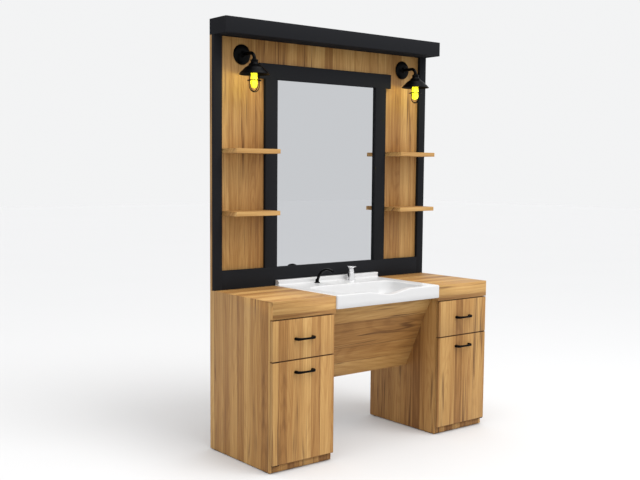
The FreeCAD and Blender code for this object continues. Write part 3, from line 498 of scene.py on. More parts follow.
def add_rings(shape: bmesh.types.BMesh, rings: Sequence[Sequence[Vector]], closed: bool = False) -> None:
    """Skin rings of equally many points.

    Args:
        shape: the bmesh that the faces go to.
        rings: the rings, in order. A ring whose points all fall together makes a pole.
        closed: join the last ring to the first; otherwise the end rings are filled.
    """
    rows = [[shape.verts.new(point) for point in ring] for ring in rings]
    steps = list(zip(rows, rows[1:])) + ([(rows[-1], rows[0])] if closed else [])
    for low, high in steps:
        for index, corner in enumerate(low):
            after = (index + 1) % len(low)
            shape.faces.new((corner, low[after], high[after], high[index]))
    if not closed:
        for row in (rows[0], rows[-1]):
            spread = max((vert.co - row[0].co).length for vert in row)
            if spread > 1e-7:
                shape.faces.new(row)


def frame_of(axis: Vector) -> tuple[Vector, Vector]:
    """Two directions square to an axis and to each other."""
    side = axis.orthogonal().normalized()
    return side, axis.cross(side).normalized()


def turned(name: str, profile: Sequence[Pair], place: Vector, axis: Vector = UP, closed: bool = False,
           segments: int = 64) -> bpy.types.Object:
    """A turned piece.

    Args:
        name: the object's name.
        profile: (radius, height) points.
        place: the point on the axis where height is 0.
        axis: the direction of height.
        closed: the profile is a loop round a bore and not a line from axis to axis.
        segments: sides of the round.

    Returns:
        The object.
    """
    shape = bmesh.new()
    add_turned(shape, profile, place, axis, closed, segments)
    return as_object(name, shape)


def add_turned(shape: bmesh.types.BMesh, profile: Sequence[Pair], place: Vector, axis: Vector = UP,
               closed: bool = False, segments: int = 64) -> None:
    """Add a turned shell to a bmesh.

    Args:
        shape: the bmesh that the faces go to.
        profile: (radius, height) points.
        place: the point on the axis where height is 0.
        axis: the direction of height.
        closed: the profile is a loop round a bore and not a line from axis to axis.
        segments: sides of the round.
    """
    side, across = frame_of(axis)
    rings = []
    for radius, height in profile:
        centre = place + axis * height
        rings.append([centre + (side * c + across * s) * radius for c, s in circle(segments)])
    add_rings(shape, rings, closed)


def add_nut(shape: bmesh.types.BMesh, place: Vector, size: float, bore: float, low: float, high: float,
            chamfer: float) -> None:
    """Add a hexagon nut on an upright axis.

    Args:
        shape: the bmesh that the faces go to.
        place: the point on the axis where height is 0.
        size: radius to its corners.
        bore: radius of its bore.
        low: height of its underside.
        high: height of its top.
        chamfer: size of its chamfers.
    """
    line = [(bore, low), (size - chamfer, low), (size, low + chamfer), (size, high - chamfer),
            (size - chamfer, high), (bore, high)]
    add_turned(shape, line, place, closed=True, segments=6)


def smooth_path(points: Sequence[Vector], per_span: int = 8) -> list[Vector]:
    """A Catmull-Rom curve through points.

    Args:
        points: the points it passes.
        per_span: samples from one point to the next.

    Returns:
        The samples.
    """
    ends = [points[0] * 2 - points[1], *points, points[-1] * 2 - points[-2]]
    path = []
    for a, b, c, d in zip(ends, ends[1:], ends[2:], ends[3:]):
        square = 2 * a - 5 * b + 4 * c - d
        cube = 3 * b - a - 3 * c + d
        for step in range(per_span):
            t = step / per_span
            path.append(0.5 * ((2 * b) + (c - a) * t + square * t**2 + cube * t**3))
    path.append(points[-1].copy())
    return path


def add_swept(shape: bmesh.types.BMesh, path: Sequence[Vector], half_sizes: Sequence[Pair], level: Vector,
              sides: int = 20, square: float = 1.0) -> None:
    """Sweep an oval section along a path, with both ends filled.

    Args:
        shape: the bmesh that the faces go to.
        path: the centre line.
        half_sizes: for each point, half the section's size across and along level.
        level: a direction that the section keeps.
        sides: points of the section.
        square: 1 for an oval; less for a section with fuller corners.
    """
    rings = []
    for index, centre in enumerate(path):
        ahead = path[min(index + 1, len(path) - 1)] - path[max(index - 1, 0)]
        across = ahead.cross(level).normalized()
        upward = across.cross(ahead).normalized()
        wide, high = half_sizes[index]
        ring = []
        for c, s in circle(sides):
            c, s = math.copysign(abs(c) ** square, c), math.copysign(abs(s) ** square, s)
            ring.append(centre + across * (wide * c) + upward * (high * s))
        rings.append(ring)
    add_rings(shape, rings)


# ---- the bench on which pieces are finished ----
class Bench:
    """Builds each finish once, and fits pieces to the frame."""

    def __init__(self) -> None:
        """Start with no finish built."""
        self.materials: dict[str, bpy.types.Material] = {}
        self.count = 0

    def material(self, finish: Finish) -> bpy.types.Material:
        """Build the material of a finish when it is first asked for.

        Args:
            finish: the finish.

        Returns:
            Its material.
        """
        if finish.name not in self.materials:
            self.materials[finish.name] = finish.build()
        return self.materials[finish.name]

    def fit(self, piece: bpy.types.Object, finish: Finish, body: str = STATION,
            stands_for: Sequence[str] = ()) -> None:
        """Give a new piece its finish and its place in the frame.

        Args:
            piece: the piece, at the origin, with its place in its mesh.
            finish: its finish.
            body: the CAD body that it rides on.
            stands_for: the CAD nodes that it replaces.
        """
        piece.data.materials.clear()
        piece.data.materials.append(self.material(finish))
        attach(piece, body)
        if stands_for:
            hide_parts(*stands_for)
        self.count += 1
        log.info("%s: %d faces on %s", piece.name, len(piece.data.polygons), body)

    def dress(self, node: str, finish: Finish, edge: float = 0.0) -> None:
        """Give a CAD node its finish and its edges.

        Args:
            node: the node's name.
            finish: its finish.
            edge: radius of its rounded edges, 0 for none.
        """
        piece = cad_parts[node]
        piece.data.materials.clear()
        piece.data.materials.append(self.material(finish))
        if edge:
            piece.modifiers.new("weld", "WELD").merge_threshold = 1e-5
            bevel = piece.modifiers.new("edges", "BEVEL")
            bevel.width = edge
            bevel.segments = 2
            bevel.limit_method = "ANGLE"
            bevel.angle_limit = math.radians(30)
            bevel.harden_normals = True
            piece.data.shade_smooth()
            piece.data.set_sharp_from_angle(angle=math.radians(30))
        log.info("%s: CAD node in %s", node, finish.name)


# ---- geometry node trees ----
class Tree:
    """A Geometry Nodes tree with named inputs that ends in Realize Instances and Set Material."""

    def __init__(self, name: str, sizes: dict[str, float]) -> None:
        """Start a tree.

        Args:
            name: the tree's name.
            sizes: its named inputs with their values.
        """
        self.sizes = sizes
        self.tree = bpy.data.node_groups.new(name, "GeometryNodeTree")
        face = self.tree.interface
        face.new_socket(name="Geometry", in_out="INPUT", socket_type="NodeSocketGeometry")
        self.sockets = {}
        for label in sizes:
            socket = face.new_socket(name=label, in_out="INPUT", socket_type="NodeSocketFloat")
            self.sockets[label] = socket.identifier
        face.new_socket(name="Geometry", in_out="OUTPUT", socket_type="NodeSocketGeometry")
        self.inputs = self.tree.nodes.new("NodeGroupInput")

    def node(self, kind: str, settings: Values = None, inputs: Values = None) -> bpy.types.Node:
        """Add one node.

        Args:
            kind: the node's type.
            settings: its properties, which are set first.
            inputs: links or values by the socket's name or number.

        Returns:
            The node.
        """
        made = self.tree.nodes.new(kind)
        for key, value in (settings or {}).items():
            setattr(made, key, value)
        for key, value in (inputs or {}).items():
            if isinstance(value, bpy.types.NodeSocket):
                self.tree.links.new(value, made.inputs[key])
            else:
                made.inputs[key].default_value = value
        return made

    def run(self, source: bpy.types.Object, result: bpy.types.NodeSocket, material: bpy.types.Material,
            name: str) -> bpy.types.Object:
        """Run the tree on a source object and turn the result into a plain mesh.

        Args:
            source: the object whose geometry goes in; it is deleted.
            result: the tree's last geometry socket.
            material: the material of the result.
            name: the new object's name.

        Returns:
            The new object.
        """
        real = self.node("GeometryNodeRealizeInstances", None, {"Geometry": result})
        paint = {"Geometry": real.outputs[0], "Material": material}
        painted = self.node("GeometryNodeSetMaterial", None, paint)
        self.node("NodeGroupOutput", None, {"Geometry": painted.outputs[0]})
        modifier = source.modifiers.new("tree", "NODES")
        modifier.node_group = self.tree
        for label, value in self.sizes.items():
            modifier[self.sockets[label]] = value
        graph = bpy.context.evaluated_depsgraph_get()
        mesh = bpy.data.meshes.new_from_object(source.evaluated_get(graph))
        mesh.name = name
        source.modifiers.remove(modifier)
        bpy.data.objects.remove(source)
        return in_scene(name, mesh)


def wires(name: str, lines: Sequence[Sequence[Vector]], cyclic: Sequence[bool], radius: float,
          material: bpy.types.Material) -> bpy.types.Object:
    """Round wires along lines.

    Args:
        name: the new object's name.
        lines: the centre lines.
        cyclic: for each line, whether it closes.
        radius: the wire's radius.
        material: its material.

    Returns:
        One object with all the wires.
    """
    curve = bpy.data.curves.new(name + "_lines", "CURVE")
    curve.dimensions = "3D"
    for line, closes in zip(lines, cyclic):
        spline = curve.splines.new("POLY")
        spline.points.add(len(line) - 1)
        for point, place in zip(spline.points, line):
            point.co = (*place, 1.0)
        spline.use_cyclic_u = closes
    source = in_scene(name + "_lines", curve)
    tree = Tree(name + "_tree", {"Wire radius": radius})
    section = tree.node("GeometryNodeCurvePrimitiveCircle", None, {"Resolution": 12})
    tree.tree.links.new(tree.inputs.outputs["Wire radius"], section.inputs["Radius"])
    caps = {"Curve": tree.inputs.outputs["Geometry"], "Profile Curve": section.outputs[0], "Fill Caps": True}
    tube = tree.node("GeometryNodeCurveToMesh", None, caps)
    smooth = tree.node("GeometryNodeSetShadeSmooth", None, {"Geometry": tube.outputs[0]})
    return tree.run(source, smooth.outputs[0], material, name)


@dataclass(frozen=True)
class Spot:
    """A place where a small fastener sits, and the direction in which its head looks."""

    place: Vector
    facing: Vector


def repeated(name: str, spots: Sequence[Spot], template: bpy.types.Object, turn: float,
             material: bpy.types.Material) -> bpy.types.Object:
    """Copies of a small template on spots.

    Args:
        name: the new object's name.
        spots: where the copies go.
        template: the piece to copy, with its foot at the origin and its head towards +Z.
        turn: largest turn about its own axis, in radians; each copy gets its own, from a fixed seed.
        material: the copies' material.

    Returns:
        One object with all the copies.
    """
    mesh = bpy.data.meshes.new(name + "_spots")
    mesh.from_pydata([spot.place for spot in spots], [], [])
    facing = mesh.attributes.new("facing", "FLOAT_VECTOR", "POINT")
    facing.data.foreach_set("vector", [value for spot in spots for value in spot.facing])
    source = in_scene(name + "_spots", mesh)
    tree = Tree(name + "_tree", {"Largest turn": turn})
    look = tree.node("GeometryNodeInputNamedAttribute", {"data_type": "FLOAT_VECTOR"}, {"Name": "facing"})
    aim = tree.node("FunctionNodeAlignRotationToVector", {"axis": "Z"}, {"Vector": look.outputs[0]})
    chance = tree.node("FunctionNodeRandomValue", {"data_type": "FLOAT"}, {"Seed": 7})
    tree.tree.links.new(tree.inputs.outputs["Largest turn"], chance.inputs[3])
    own = {"Axis": (0.0, 0.0, 1.0), "Angle": chance.outputs[1]}
    spin = tree.node("FunctionNodeAxisAngleToRotation", None, own)
    both = {"Rotation": aim.outputs[0], "Rotate By": spin.outputs[0]}
    rotation = tree.node("FunctionNodeRotateRotation", {"rotation_space": "LOCAL"}, both)
    shape = tree.node("GeometryNodeObjectInfo", None, {"Object": template})
    points = tree.inputs.outputs["Geometry"]
    laid = {"Points": points, "Instance": shape.outputs["Geometry"], "Rotation": rotation.outputs[0]}
    copies = tree.node("GeometryNodeInstanceOnPoints", None, laid)
    piece = tree.run(source, copies.outputs[0], material, name)
    bpy.data.objects.remove(template)
    return piece


# ---- boards ----
@dataclass
class Boards:
    """The CAD nodes that keep their shape: the boards, runners, studs, rods, pivots, glides and mirror."""

    upright: Sequence[str] = (
        "side_outer_left", "side_outer_right", "pedestal_backs",
    )
    level: Sequence[str] = (
        "worktop_left", "worktop_right", "worktop_noses", "shelves_left", "shelves_right",
    )
    inner: Sequence[str] = (
        "base_boards", "divider_boards", "cupboard_shelves", "top_stretchers", "basin_bearers",
    )
    black: Sequence[str] = (
        "outer_stiles", "inner_stiles", "top_rail", "bottom_rail", "cornice_front", "cornice_boards",
        "cornice_ends",
    )
    steel: Sequence[str] = (
        "runner_channels", "runner_middles_left", "runner_middles_right", "runner_slides_left",
        "runner_slides_right", "shelf_studs", "shelf_rods",
    )
    board_edge: float = 0.0007
    black_edge: float = 0.0010

    def dress(self, bench: Bench) -> None:
        """Give each node its finish and its edges.

        Args:
            bench: the bench that the pieces are finished on.
        """
        for nodes, finish, edge in (
            (self.upright, OAK_UPRIGHT, self.board_edge),
            (("back_panel",), OAK_WALL, self.board_edge),
            (("apron_panel",), OAK_APRON_SHADED, self.board_edge),
            (("side_inner_left", "side_inner_right"), OAK_KNEE_SHADED, self.board_edge),
            (("drawer_front_left",), OAK_DRAWER, self.board_edge),
            (("drawer_front_right",), OAK_DRAWER_RIGHT_SHADED, self.board_edge),
            (("door_left",), OAK_DOOR, self.board_edge),
            (("door_right",), OAK_DOOR_RIGHT_SHADED, self.board_edge),
            (self.level, OAK_LEVEL, self.board_edge),
            (self.inner, OAK_INNER, self.board_edge),
            (("rear_rail",), OAK_INNER, 0.0),
            (("plinth_boards",), OAK_PLINTH_SHADED, self.board_edge),
            (self.black, BLACK_BOARD, self.black_edge),
            (self.steel, ZINC, 0.0),
            (("door_pivots",), POWDER, 0.0),
            (("drawer_box_left", "drawer_box_right"), MELAMINE, 0.0),
            (("glides",), GLIDE, 0.0),
            (("mirror",), MIRROR, 0.0),
        ):
            for node in nodes:
                bench.dress(node, finish, edge)


# ---- basin ----
@dataclass
class Basin:
    """The ceramic basin: one smooth shell with a sloping bowl and a neck dip, and its upstand."""

    low: Vector = field(default_factory=lambda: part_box("basin")[0])
    high: Vector = field(default_factory=lambda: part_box("basin")[1])
    upstand_height: float = 0.026
    upstand_depth: float = 0.040
    face_height: float = 0.066      # of the front face
    wall: float = 0.014             # thickness of the outer faces
    deck: float = 0.016             # thickness of the deck
    dip_half: float = 0.152         # half the neck dip's width
    dip_depth: float = 0.0205
    dip_back: float = 0.415         # how far from the wall the neck dip ends
    dip_fade: float = 0.052         # height over which the dip fades out down the front face
    edge: float = 0.005             # radius of the outer edges
    corner: float = 0.008           # radius of the outer corners, seen from above
    rim: float = 0.0015             # chamfer along the foot of the outer faces
    bead_size: float = 0.0026       # of the silicone bead, seen from its end
    along: int = 48                 # steps of the front and rear side
    around: int = 10                # steps of each corner

    def __post_init__(self) -> None:
        """Work out the planes that the shell is built on."""
        self.top = self.high.z - self.upstand_height
        self.foot = self.top - self.face_height

    def ring(self, half: float, front: float, back: float, radius: float, height: float) -> list[Vector]:
        """A level ring on a rounded rectangle.

        Args:
            half: half its width.
            front: Y of its front side.
            back: Y of its rear side.
            radius: radius of its corners.
            height: its Z.

        Returns:
            Its points, equally many for every ring.
        """
        radius = min(radius, half, (back - front) / 2)
        x, near, far = half - radius, front + radius, back - radius
        # each side runs from its begin to a corner's centre, moved outwards; then the corner turns 90 degrees
        corners = ((x, near, -90), (x, far, 0), (-x, far, 90), (-x, near, 180))
        begins = ((-x, near), (x, near), (x, far), (-x, far))
        outwards = (-BACK, RIGHT, BACK, -RIGHT)
        points = []
        for index, (cx, cy, start) in enumerate(corners):
            begin, end = Vector((*begins[index], height)), Vector((cx, cy, height))
            steps = self.along // 4 if index % 2 else self.along
            points += [begin.lerp(end, step / steps) + outwards[index] * radius for step in range(steps)]
            for step in range(self.around):
                angle = math.radians(start + 90 * step / self.around)
                points.append(Vector((cx + radius * math.cos(angle), cy + radius * math.sin(angle), height)))
        return points

    def bowl_rows(self) -> list[tuple[float, float, float, float, float]]:
        """Control rows (half width, front Y, rear Y, corner radius, Z) from the drain up to the deck."""
        deck, wall = self.top, WALL_Y
        return [
            (0.026, wall - 0.306, wall - 0.284, 0.011, deck - 0.1302),
            (0.070, wall - 0.318, wall - 0.272, 0.022, deck - 0.1300),
            (0.124, wall - 0.336, wall - 0.252, 0.036, deck - 0.1295),
            (0.156, wall - 0.352, wall - 0.238, 0.044, deck - 0.1270),
            (0.182, wall - 0.370, wall - 0.231, 0.048, deck - 0.1120),
            (0.222, wall - 0.398, wall - 0.223, 0.052, deck - 0.0860),
            (0.262, wall - 0.431, wall - 0.214, 0.056, deck - 0.0540),
            (0.276, wall - 0.466, wall - 0.208, 0.059, deck - 0.0250),
            (0.281, wall - 0.484, wall - 0.205, 0.061, deck - 0.0110),
            (0.284, wall - 0.492, wall - 0.203, 0.062, deck - 0.0020),
            (0.291, wall - 0.500, wall - 0.197, 0.064, deck),
            (0.302, wall - 0.507, wall - 0.184, 0.066, deck),
        ]

    @staticmethod
    def blended(rows: Sequence[Sequence[float]], per_span: int) -> list[list[float]]:
        """Sample the quadratic B-spline over control rows.

        Args:
            rows: the control rows.
            per_span: samples from one row to the next.

        Returns:
            The sampled rows, from the first control row to the last.
        """
        rows = [rows[0], *rows, rows[-1]]
        samples = []
        for a, b, c in zip(rows, rows[1:], rows[2:]):
            for step in range(per_span):
                t = step / per_span
                weights = ((1 - t) ** 2 / 2, 0.5 + t - t * t, t * t / 2)
                samples.append([sum(w * v for w, v in zip(weights, values)) for values in zip(a, b, c)])
        samples.append(list(rows[-1]))
        return samples

    def dip(self, point: Vector) -> float:
        """How far the neck dip lowers a point of the shell.

        Args:
            point: the point.

        Returns:
            The distance in Z.
        """
        if abs(point.x) >= self.dip_half or point.y > WALL_Y - self.dip_back:
            return 0.0
        hollow = 0.5 + 0.5 * math.cos(math.pi * point.x / self.dip_half)
        depth = (point.z - (self.top - self.dip_fade)) / self.dip_fade
        return self.dip_depth * hollow ** 0.8 * min(1.0, max(0.0, depth)) ** 1.2

    def shell(self) -> bpy.types.Object:
        """The bowl, the deck, the outer faces and the hollow underside as one closed shell."""
        rows = self.blended(self.bowl_rows(), 4)
        # (inset, corner radius, Z) from the deck over the edge, down to the foot and up inside
        outline = [(0.020, 0.012, self.top), (0.010, 0.012, self.top)]
        for cosine, sine in arc(math.pi / 2, 5):
            outline.append((self.edge * (1 - sine), self.corner, self.top - self.edge * (1 - cosine)))
        for height in (self.top - 0.014, self.top - 0.026, self.top - 0.040, self.foot + self.rim):
            outline.append((0.0, self.corner, height))
        outline.append((self.rim, self.corner, self.foot))
        under = self.top - self.deck
        outline += [(self.wall, 0.006, self.foot), (self.wall, 0.006, under)]
        for inset, radius, height in outline:
            rows.append([self.high.x - inset, self.low.y + inset, self.high.y - inset, radius, height])
        # the underside follows the bowl back to the drain
        rows += [
            [0.297, WALL_Y - 0.507, WALL_Y - 0.190, 0.072, under],
            [0.272, WALL_Y - 0.442, WALL_Y - 0.203, 0.068, self.top - 0.066],
            [0.162, WALL_Y - 0.362, WALL_Y - 0.228, 0.057, self.low.z],
            [0.026, WALL_Y - 0.306, WALL_Y - 0.284, 0.011, self.low.z],
        ]
        rings = [self.ring(*row) for row in rows]
        for ring in rings:
            for point in ring:
                point.z -= self.dip(point)
        shape = bmesh.new()
        add_rings(shape, rings, closed=True)
        return as_object("basin_shell", shape, 50.0)

    def upstand(self) -> bpy.types.Object:
        """The splash edge along the wall, with a cove at its foot and a rounded top."""
        back = self.high.y
        front, top, cove = back - self.upstand_depth, self.high.z, 0.008
        line = [(front - cove, self.top - 0.002), (front - cove, self.top + 0.0002)]
        for cosine, sine in arc(math.pi / 2, 6)[1:]:
            line.append((front - cove + cove * sine, self.top + cove * (1 - cosine)))
        corners = [(front, self.top + cove + 0.001), (front, top), (back, top), (back, top - 0.02)]
        line += softened(corners, 0.005, 5) + [(back, self.top - 0.004)]
        shape = bmesh.new()
        half, insets = self.high.x, (0.0035, 0.0012, 0.0)
        stations = [(inset - half, inset) for inset in insets]
        stations += [(half - inset, inset) for inset in insets[::-1]]
        rings = [[Vector((x, y, z - drop if z > top - 0.012 else z)) for y, z in line]
                 for x, drop in stations]
        add_rings(shape, rings)
        return as_object("basin_upstand", shape, 40.0)

    def bead(self) -> bpy.types.Object:
        """The silicone bead between the basin and the worktops."""
        shape = bmesh.new()
        half, size, sunk = self.high.x, self.bead_size, -0.0004
        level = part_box("worktop_left")[1].z
        ends = self.low.y + 0.012, self.high.y - 0.002
        ring = [(0.0, size), (sunk, sunk), (size, sunk), (size * 0.35, size * 0.35)]
        for side in SIDES.values():
            add_rings(shape, [[Vector((side * (half + x), y, level + z)) for x, z in ring] for y in ends])
        return as_object("basin_bead", shape)

    def make(self, bench: Bench) -> None:
        """Build the basin in place of its CAD node.

        Args:
            bench: the bench that the pieces are finished on.
        """
        bench.fit(self.shell(), GLAZE, stands_for=("basin",))
        bench.fit(self.upstand(), GLAZE, stands_for=("basin",))
        bench.fit(self.bead(), SILICONE)


# ---- waste and trap ----
@dataclass
class Waste:
    """The drain in the bowl, its tail and nut, and the bottle trap with its pipe to the wall."""

    centre: Vector = field(default_factory=lambda: Vector((0.0, WALL_Y - 0.295, 0.0)))
    flange: float = 0.033       # radius, as are the next five
    plug: float = 0.021
    tail: float = 0.020
    bore: float = 0.015
    pipe: float = 0.016
    pipe_bore: float = 0.0144
    pipe_depth: float = 0.060   # how far one sees into the pipe's open end

    def make(self, bench: Bench) -> None:
        """Build the waste and the trap in place of their CAD nodes.

        Args:
            bench: the bench that the pieces are finished on.
        """
        low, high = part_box("basin_waste")
        top = high.z
        shape = bmesh.new()
        body = [(self.bore, low.z), (self.tail, low.z), (self.tail, top - 0.0145), (0.022, top - 0.0145),
                (0.022, top - 0.0025), (self.flange, top - 0.0025), (self.flange - 0.0012, top - 0.0004),
                (0.027, top), (0.0235, top - 0.0012), (0.0225, top - 0.010), (self.bore, top - 0.014)]
        add_turned(shape, body, self.centre, closed=True)
        plug = [(0.0, top - 0.008), (self.plug, top - 0.008), (self.plug, top - 0.0035),
                (self.plug - 0.002, top - 0.0015), (0.012, top - 0.0004), (0.0, top)]
        add_turned(shape, plug, self.centre)
        add_nut(shape, self.centre, 0.033, self.tail, 0.646, 0.661, 0.002)
        bench.fit(as_object("drain_and_plug", shape), CHROME, stands_for=("basin_waste",))
        self.make_trap(bench)

    def make_trap(self, bench: Bench) -> None:
        """Build the bottle trap with its collars and its pipe to the wall.

        Args:
            bench: the bench that the pieces are finished on.
        """
        shape = bmesh.new()
        bottle = [(0.0, 0.530), (0.022, 0.530), (0.030, 0.544), (0.030, 0.592), (0.026, 0.600), (0.0, 0.600)]
        add_turned(shape, softened(bottle, 0.004), self.centre)
        rim = softened([(0.029, 0.548), (0.0315, 0.549), (0.0315, 0.561), (0.029, 0.562)], 0.001)
        add_turned(shape, rim, self.centre)
        collar = softened([(0.0205, 0.600), (0.027, 0.600), (0.027, 0.618), (0.0205, 0.618)], 0.0015)
        add_turned(shape, collar, self.centre, closed=True)
        reach = WALL_Y - self.centre.y
        outlet = self.centre + UP * 0.574
        inner = reach - self.pipe_depth
        pipe = [(0.0, 0.0), (self.pipe, 0.0), (self.pipe, reach), (self.pipe_bore, reach),
                (self.pipe_bore, inner), (0.0, inner)]
        add_turned(shape, pipe, outlet, BACK)
        union = softened([(0.0155, 0.024), (0.022, 0.024), (0.022, 0.050), (0.0155, 0.050)], 0.002)
        add_turned(shape, union, outlet, BACK, closed=True)
        cover = [(self.pipe, reach - 0.004), (0.030, reach - 0.004), (0.031, reach - 0.001),
                 (self.pipe, reach - 0.0005)]
        add_turned(shape, softened(cover, 0.001), outlet, BACK, closed=True)
        bench.fit(as_object("bottle_trap_and_pipe", shape), TRAP_WHITE, stands_for=("bottle_trap",))


# ---- taps ----
@dataclass
class Spout:
    """The black swan-neck spout and the base that it swivels in."""

    axis: Vector = field(default_factory=lambda: Vector((-0.110, WALL_Y - 0.084, 0.0)))
    lean: float = math.radians(28.0)    # of its straight part, from upright towards the front
    bend: float = 0.085         # radius of its bend
    run: float = 0.020          # length of its straight part
    start: float = 0.818        # height at which the centre line starts
    tube: float = 0.0074        # radius of the tube at its foot
    taper: float = 0.10         # how much thinner it is at its end

    def centre_line(self) -> list[Vector]:
        """The tube's centre line, a straight run and a quarter circle."""
        along = Vector((0, -math.sin(self.lean), math.cos(self.lean)))
        inward = Vector((0, -math.cos(self.lean), -math.sin(self.lean)))
        start = self.axis + Vector((0, -0.002, self.start))
        centre = start + along * self.run + inward * self.bend
        line = [start - along * 0.004, start + along * self.run * 0.5]
        for cosine, sine in arc(math.pi / 2, 24):
            line.append(centre - inward * (self.bend * cosine) + along * (self.bend * sine))
        return line

    def make(self, bench: Bench) -> None:
        """Build the spout and its base in place of their CAD nodes.

        Args:
            bench: the bench that the pieces are finished on.
        """
        line = self.centre_line()
        shape = bmesh.new()
        taper = [(self.tube * (1.0 - self.taper * index / len(line)),) * 2 for index in range(len(line))]
        add_swept(shape, line, taper, RIGHT, sides=32)
        nose = (line[-1] - line[-2]).normalized()
        tip = [(0.0049, -0.012), (0.0070, -0.0115), (0.0072, -0.010), (0.0072, -0.0005), (0.0068, 0.0),
               (0.0050, 0.0)]
        add_turned(shape, tip, line[-1], nose, closed=True)
        collar = [(0.0, 0.815), (0.0095, 0.815), (0.0095, 0.818), (0.0080, 0.824), (0.0, 0.825)]
        add_turned(shape, softened(collar, 0.001), self.axis)
        bench.fit(as_object("swan_neck_spout", shape), POWDER, "spout", ("spout",))
        mesh = [(0.0, -0.0042), (0.0052, -0.0042), (0.0052, -0.0022), (0.0, -0.0022)]
        bench.fit(turned("spout_aerator", mesh, line[-1], nose), GLIDE, "spout")

        base = [(0.0, 0.771), (0.010, 0.770), (0.010, 0.803), (0.015, 0.803), (0.015, 0.8055),
                (0.0105, 0.8085), (0.010, 0.8142), (0.0095, 0.8146), (0.0, 0.8146)]
        shape = bmesh.new()
        add_turned(shape, softened(base, 0.0006), self.axis)
        add_nut(shape, self.axis, 0.018, 0.010, 0.778, 0.787, 0.001)
        bench.fit(as_object("spout_foot", shape), POWDER, stands_for=("spout_base",))


@dataclass
class Mixer:
    """The chrome mixer: a vase-shaped body, a head that turns and a lever that lifts."""

    axis: Vector = field(default_factory=lambda: Vector((0.119, WALL_Y - 0.093, 0.0)))
    head_top: float = 0.864
    mark_height: float = 0.855
    mark_reach: float = 0.0158          # from the axis to the foot of the hot and cold marks
    paddle: Pair = (0.0125, 0.0085)     # half its width at its root and near its tip
    paddle_half: float = 0.0015         # half its thickness
    paddle_tip: Pair = (0.0070, 0.0011)     # half its width and thickness at the tip

    def make(self, bench: Bench) -> None:
        """Build the three pieces in place of their CAD nodes.

        Args:
            bench: the bench that the pieces are finished on.
        """
        shape = bmesh.new()
        vase = [(0.0, 0.770), (0.016, 0.770), (0.016, 0.803), (0.024, 0.803), (0.0242, 0.8055),
                (0.0232, 0.8085), (0.0215, 0.8200), (0.0190, 0.8350), (0.0175, 0.8452), (0.0168, 0.846),
                (0.0, 0.846)]
        add_turned(shape, softened(vase, 0.0022, 6), self.axis)
        add_nut(shape, self.axis, 0.028, 0.016, 0.778, 0.787, 0.0015)
        bench.fit(as_object("mixer_vase", shape), CHROME, stands_for=("mixer_body",))

        neck = [(0.0, 0.8465), (0.0164, 0.8465), (0.0170, 0.8475), (0.0160, 0.855), (0.0140, 0.8632),
                (0.0134, self.head_top), (0.0, self.head_top)]
        piece = turned("mixer_neck", softened(neck, 0.0012, 5), self.axis)
        bench.fit(piece, CHROME, "mixer_head", ("mixer_head",))
        marks = bmesh.new()
        dot = [(0.0, 0.0), (0.0014, 0.0), (0.0013, 0.0003), (0.0, 0.0004)]
        for sign in SIDES.values():
            facing = Vector((sign * 0.35, -1.0, 0.0)).normalized()
            spot = self.axis + UP * self.mark_height + facing * self.mark_reach
            add_turned(marks, dot, spot, facing, segments=16)
        bench.fit(as_object("mixer_marks", marks), GLIDE, "mixer_head")
        bench.fit(self.lever(), CHROME, "mixer_lever", ("mixer_lever",))

    def lever(self) -> bpy.types.Object:
        """The flared grip with its thin paddle."""
        shape = bmesh.new()
        flare = [(0.0, 0.8645), (0.0108, 0.8645), (0.0130, 0.8675), (0.0185, 0.8725), (0.0225, 0.8760),
                 (0.0235, 0.8772), (0.0233, 0.8790), (0.0222, 0.8796), (0.0, 0.8800)]
        add_turned(shape, softened(flare, 0.0010, 5), self.axis)
        line = ((0.010, 0.8778), (0.020, 0.8778), (0.028, 0.8779), (0.033, 0.8780))
        path = smooth_path([self.axis + Vector((0, -y, z)) for y, z in line], 6)
        root, end = self.paddle
        widths = [root + (end - root) * index / (len(path) - 1) for index in range(len(path))]
        sizes = [(width, self.paddle_half) for width in widths[:-1]] + [self.paddle_tip]
        add_swept(shape, path, sizes, UP, sides=28, square=0.55)
        barrel = [(0.0, 0.0), (0.002, 0.0), (0.002, 0.012), (0.0, 0.012)]
        place = self.axis + Vector((-0.006, 0.011, self.head_top + 0.00025))
        add_turned(shape, barrel, place, RIGHT, segments=24)
        return as_object("mixer_grip", shape)


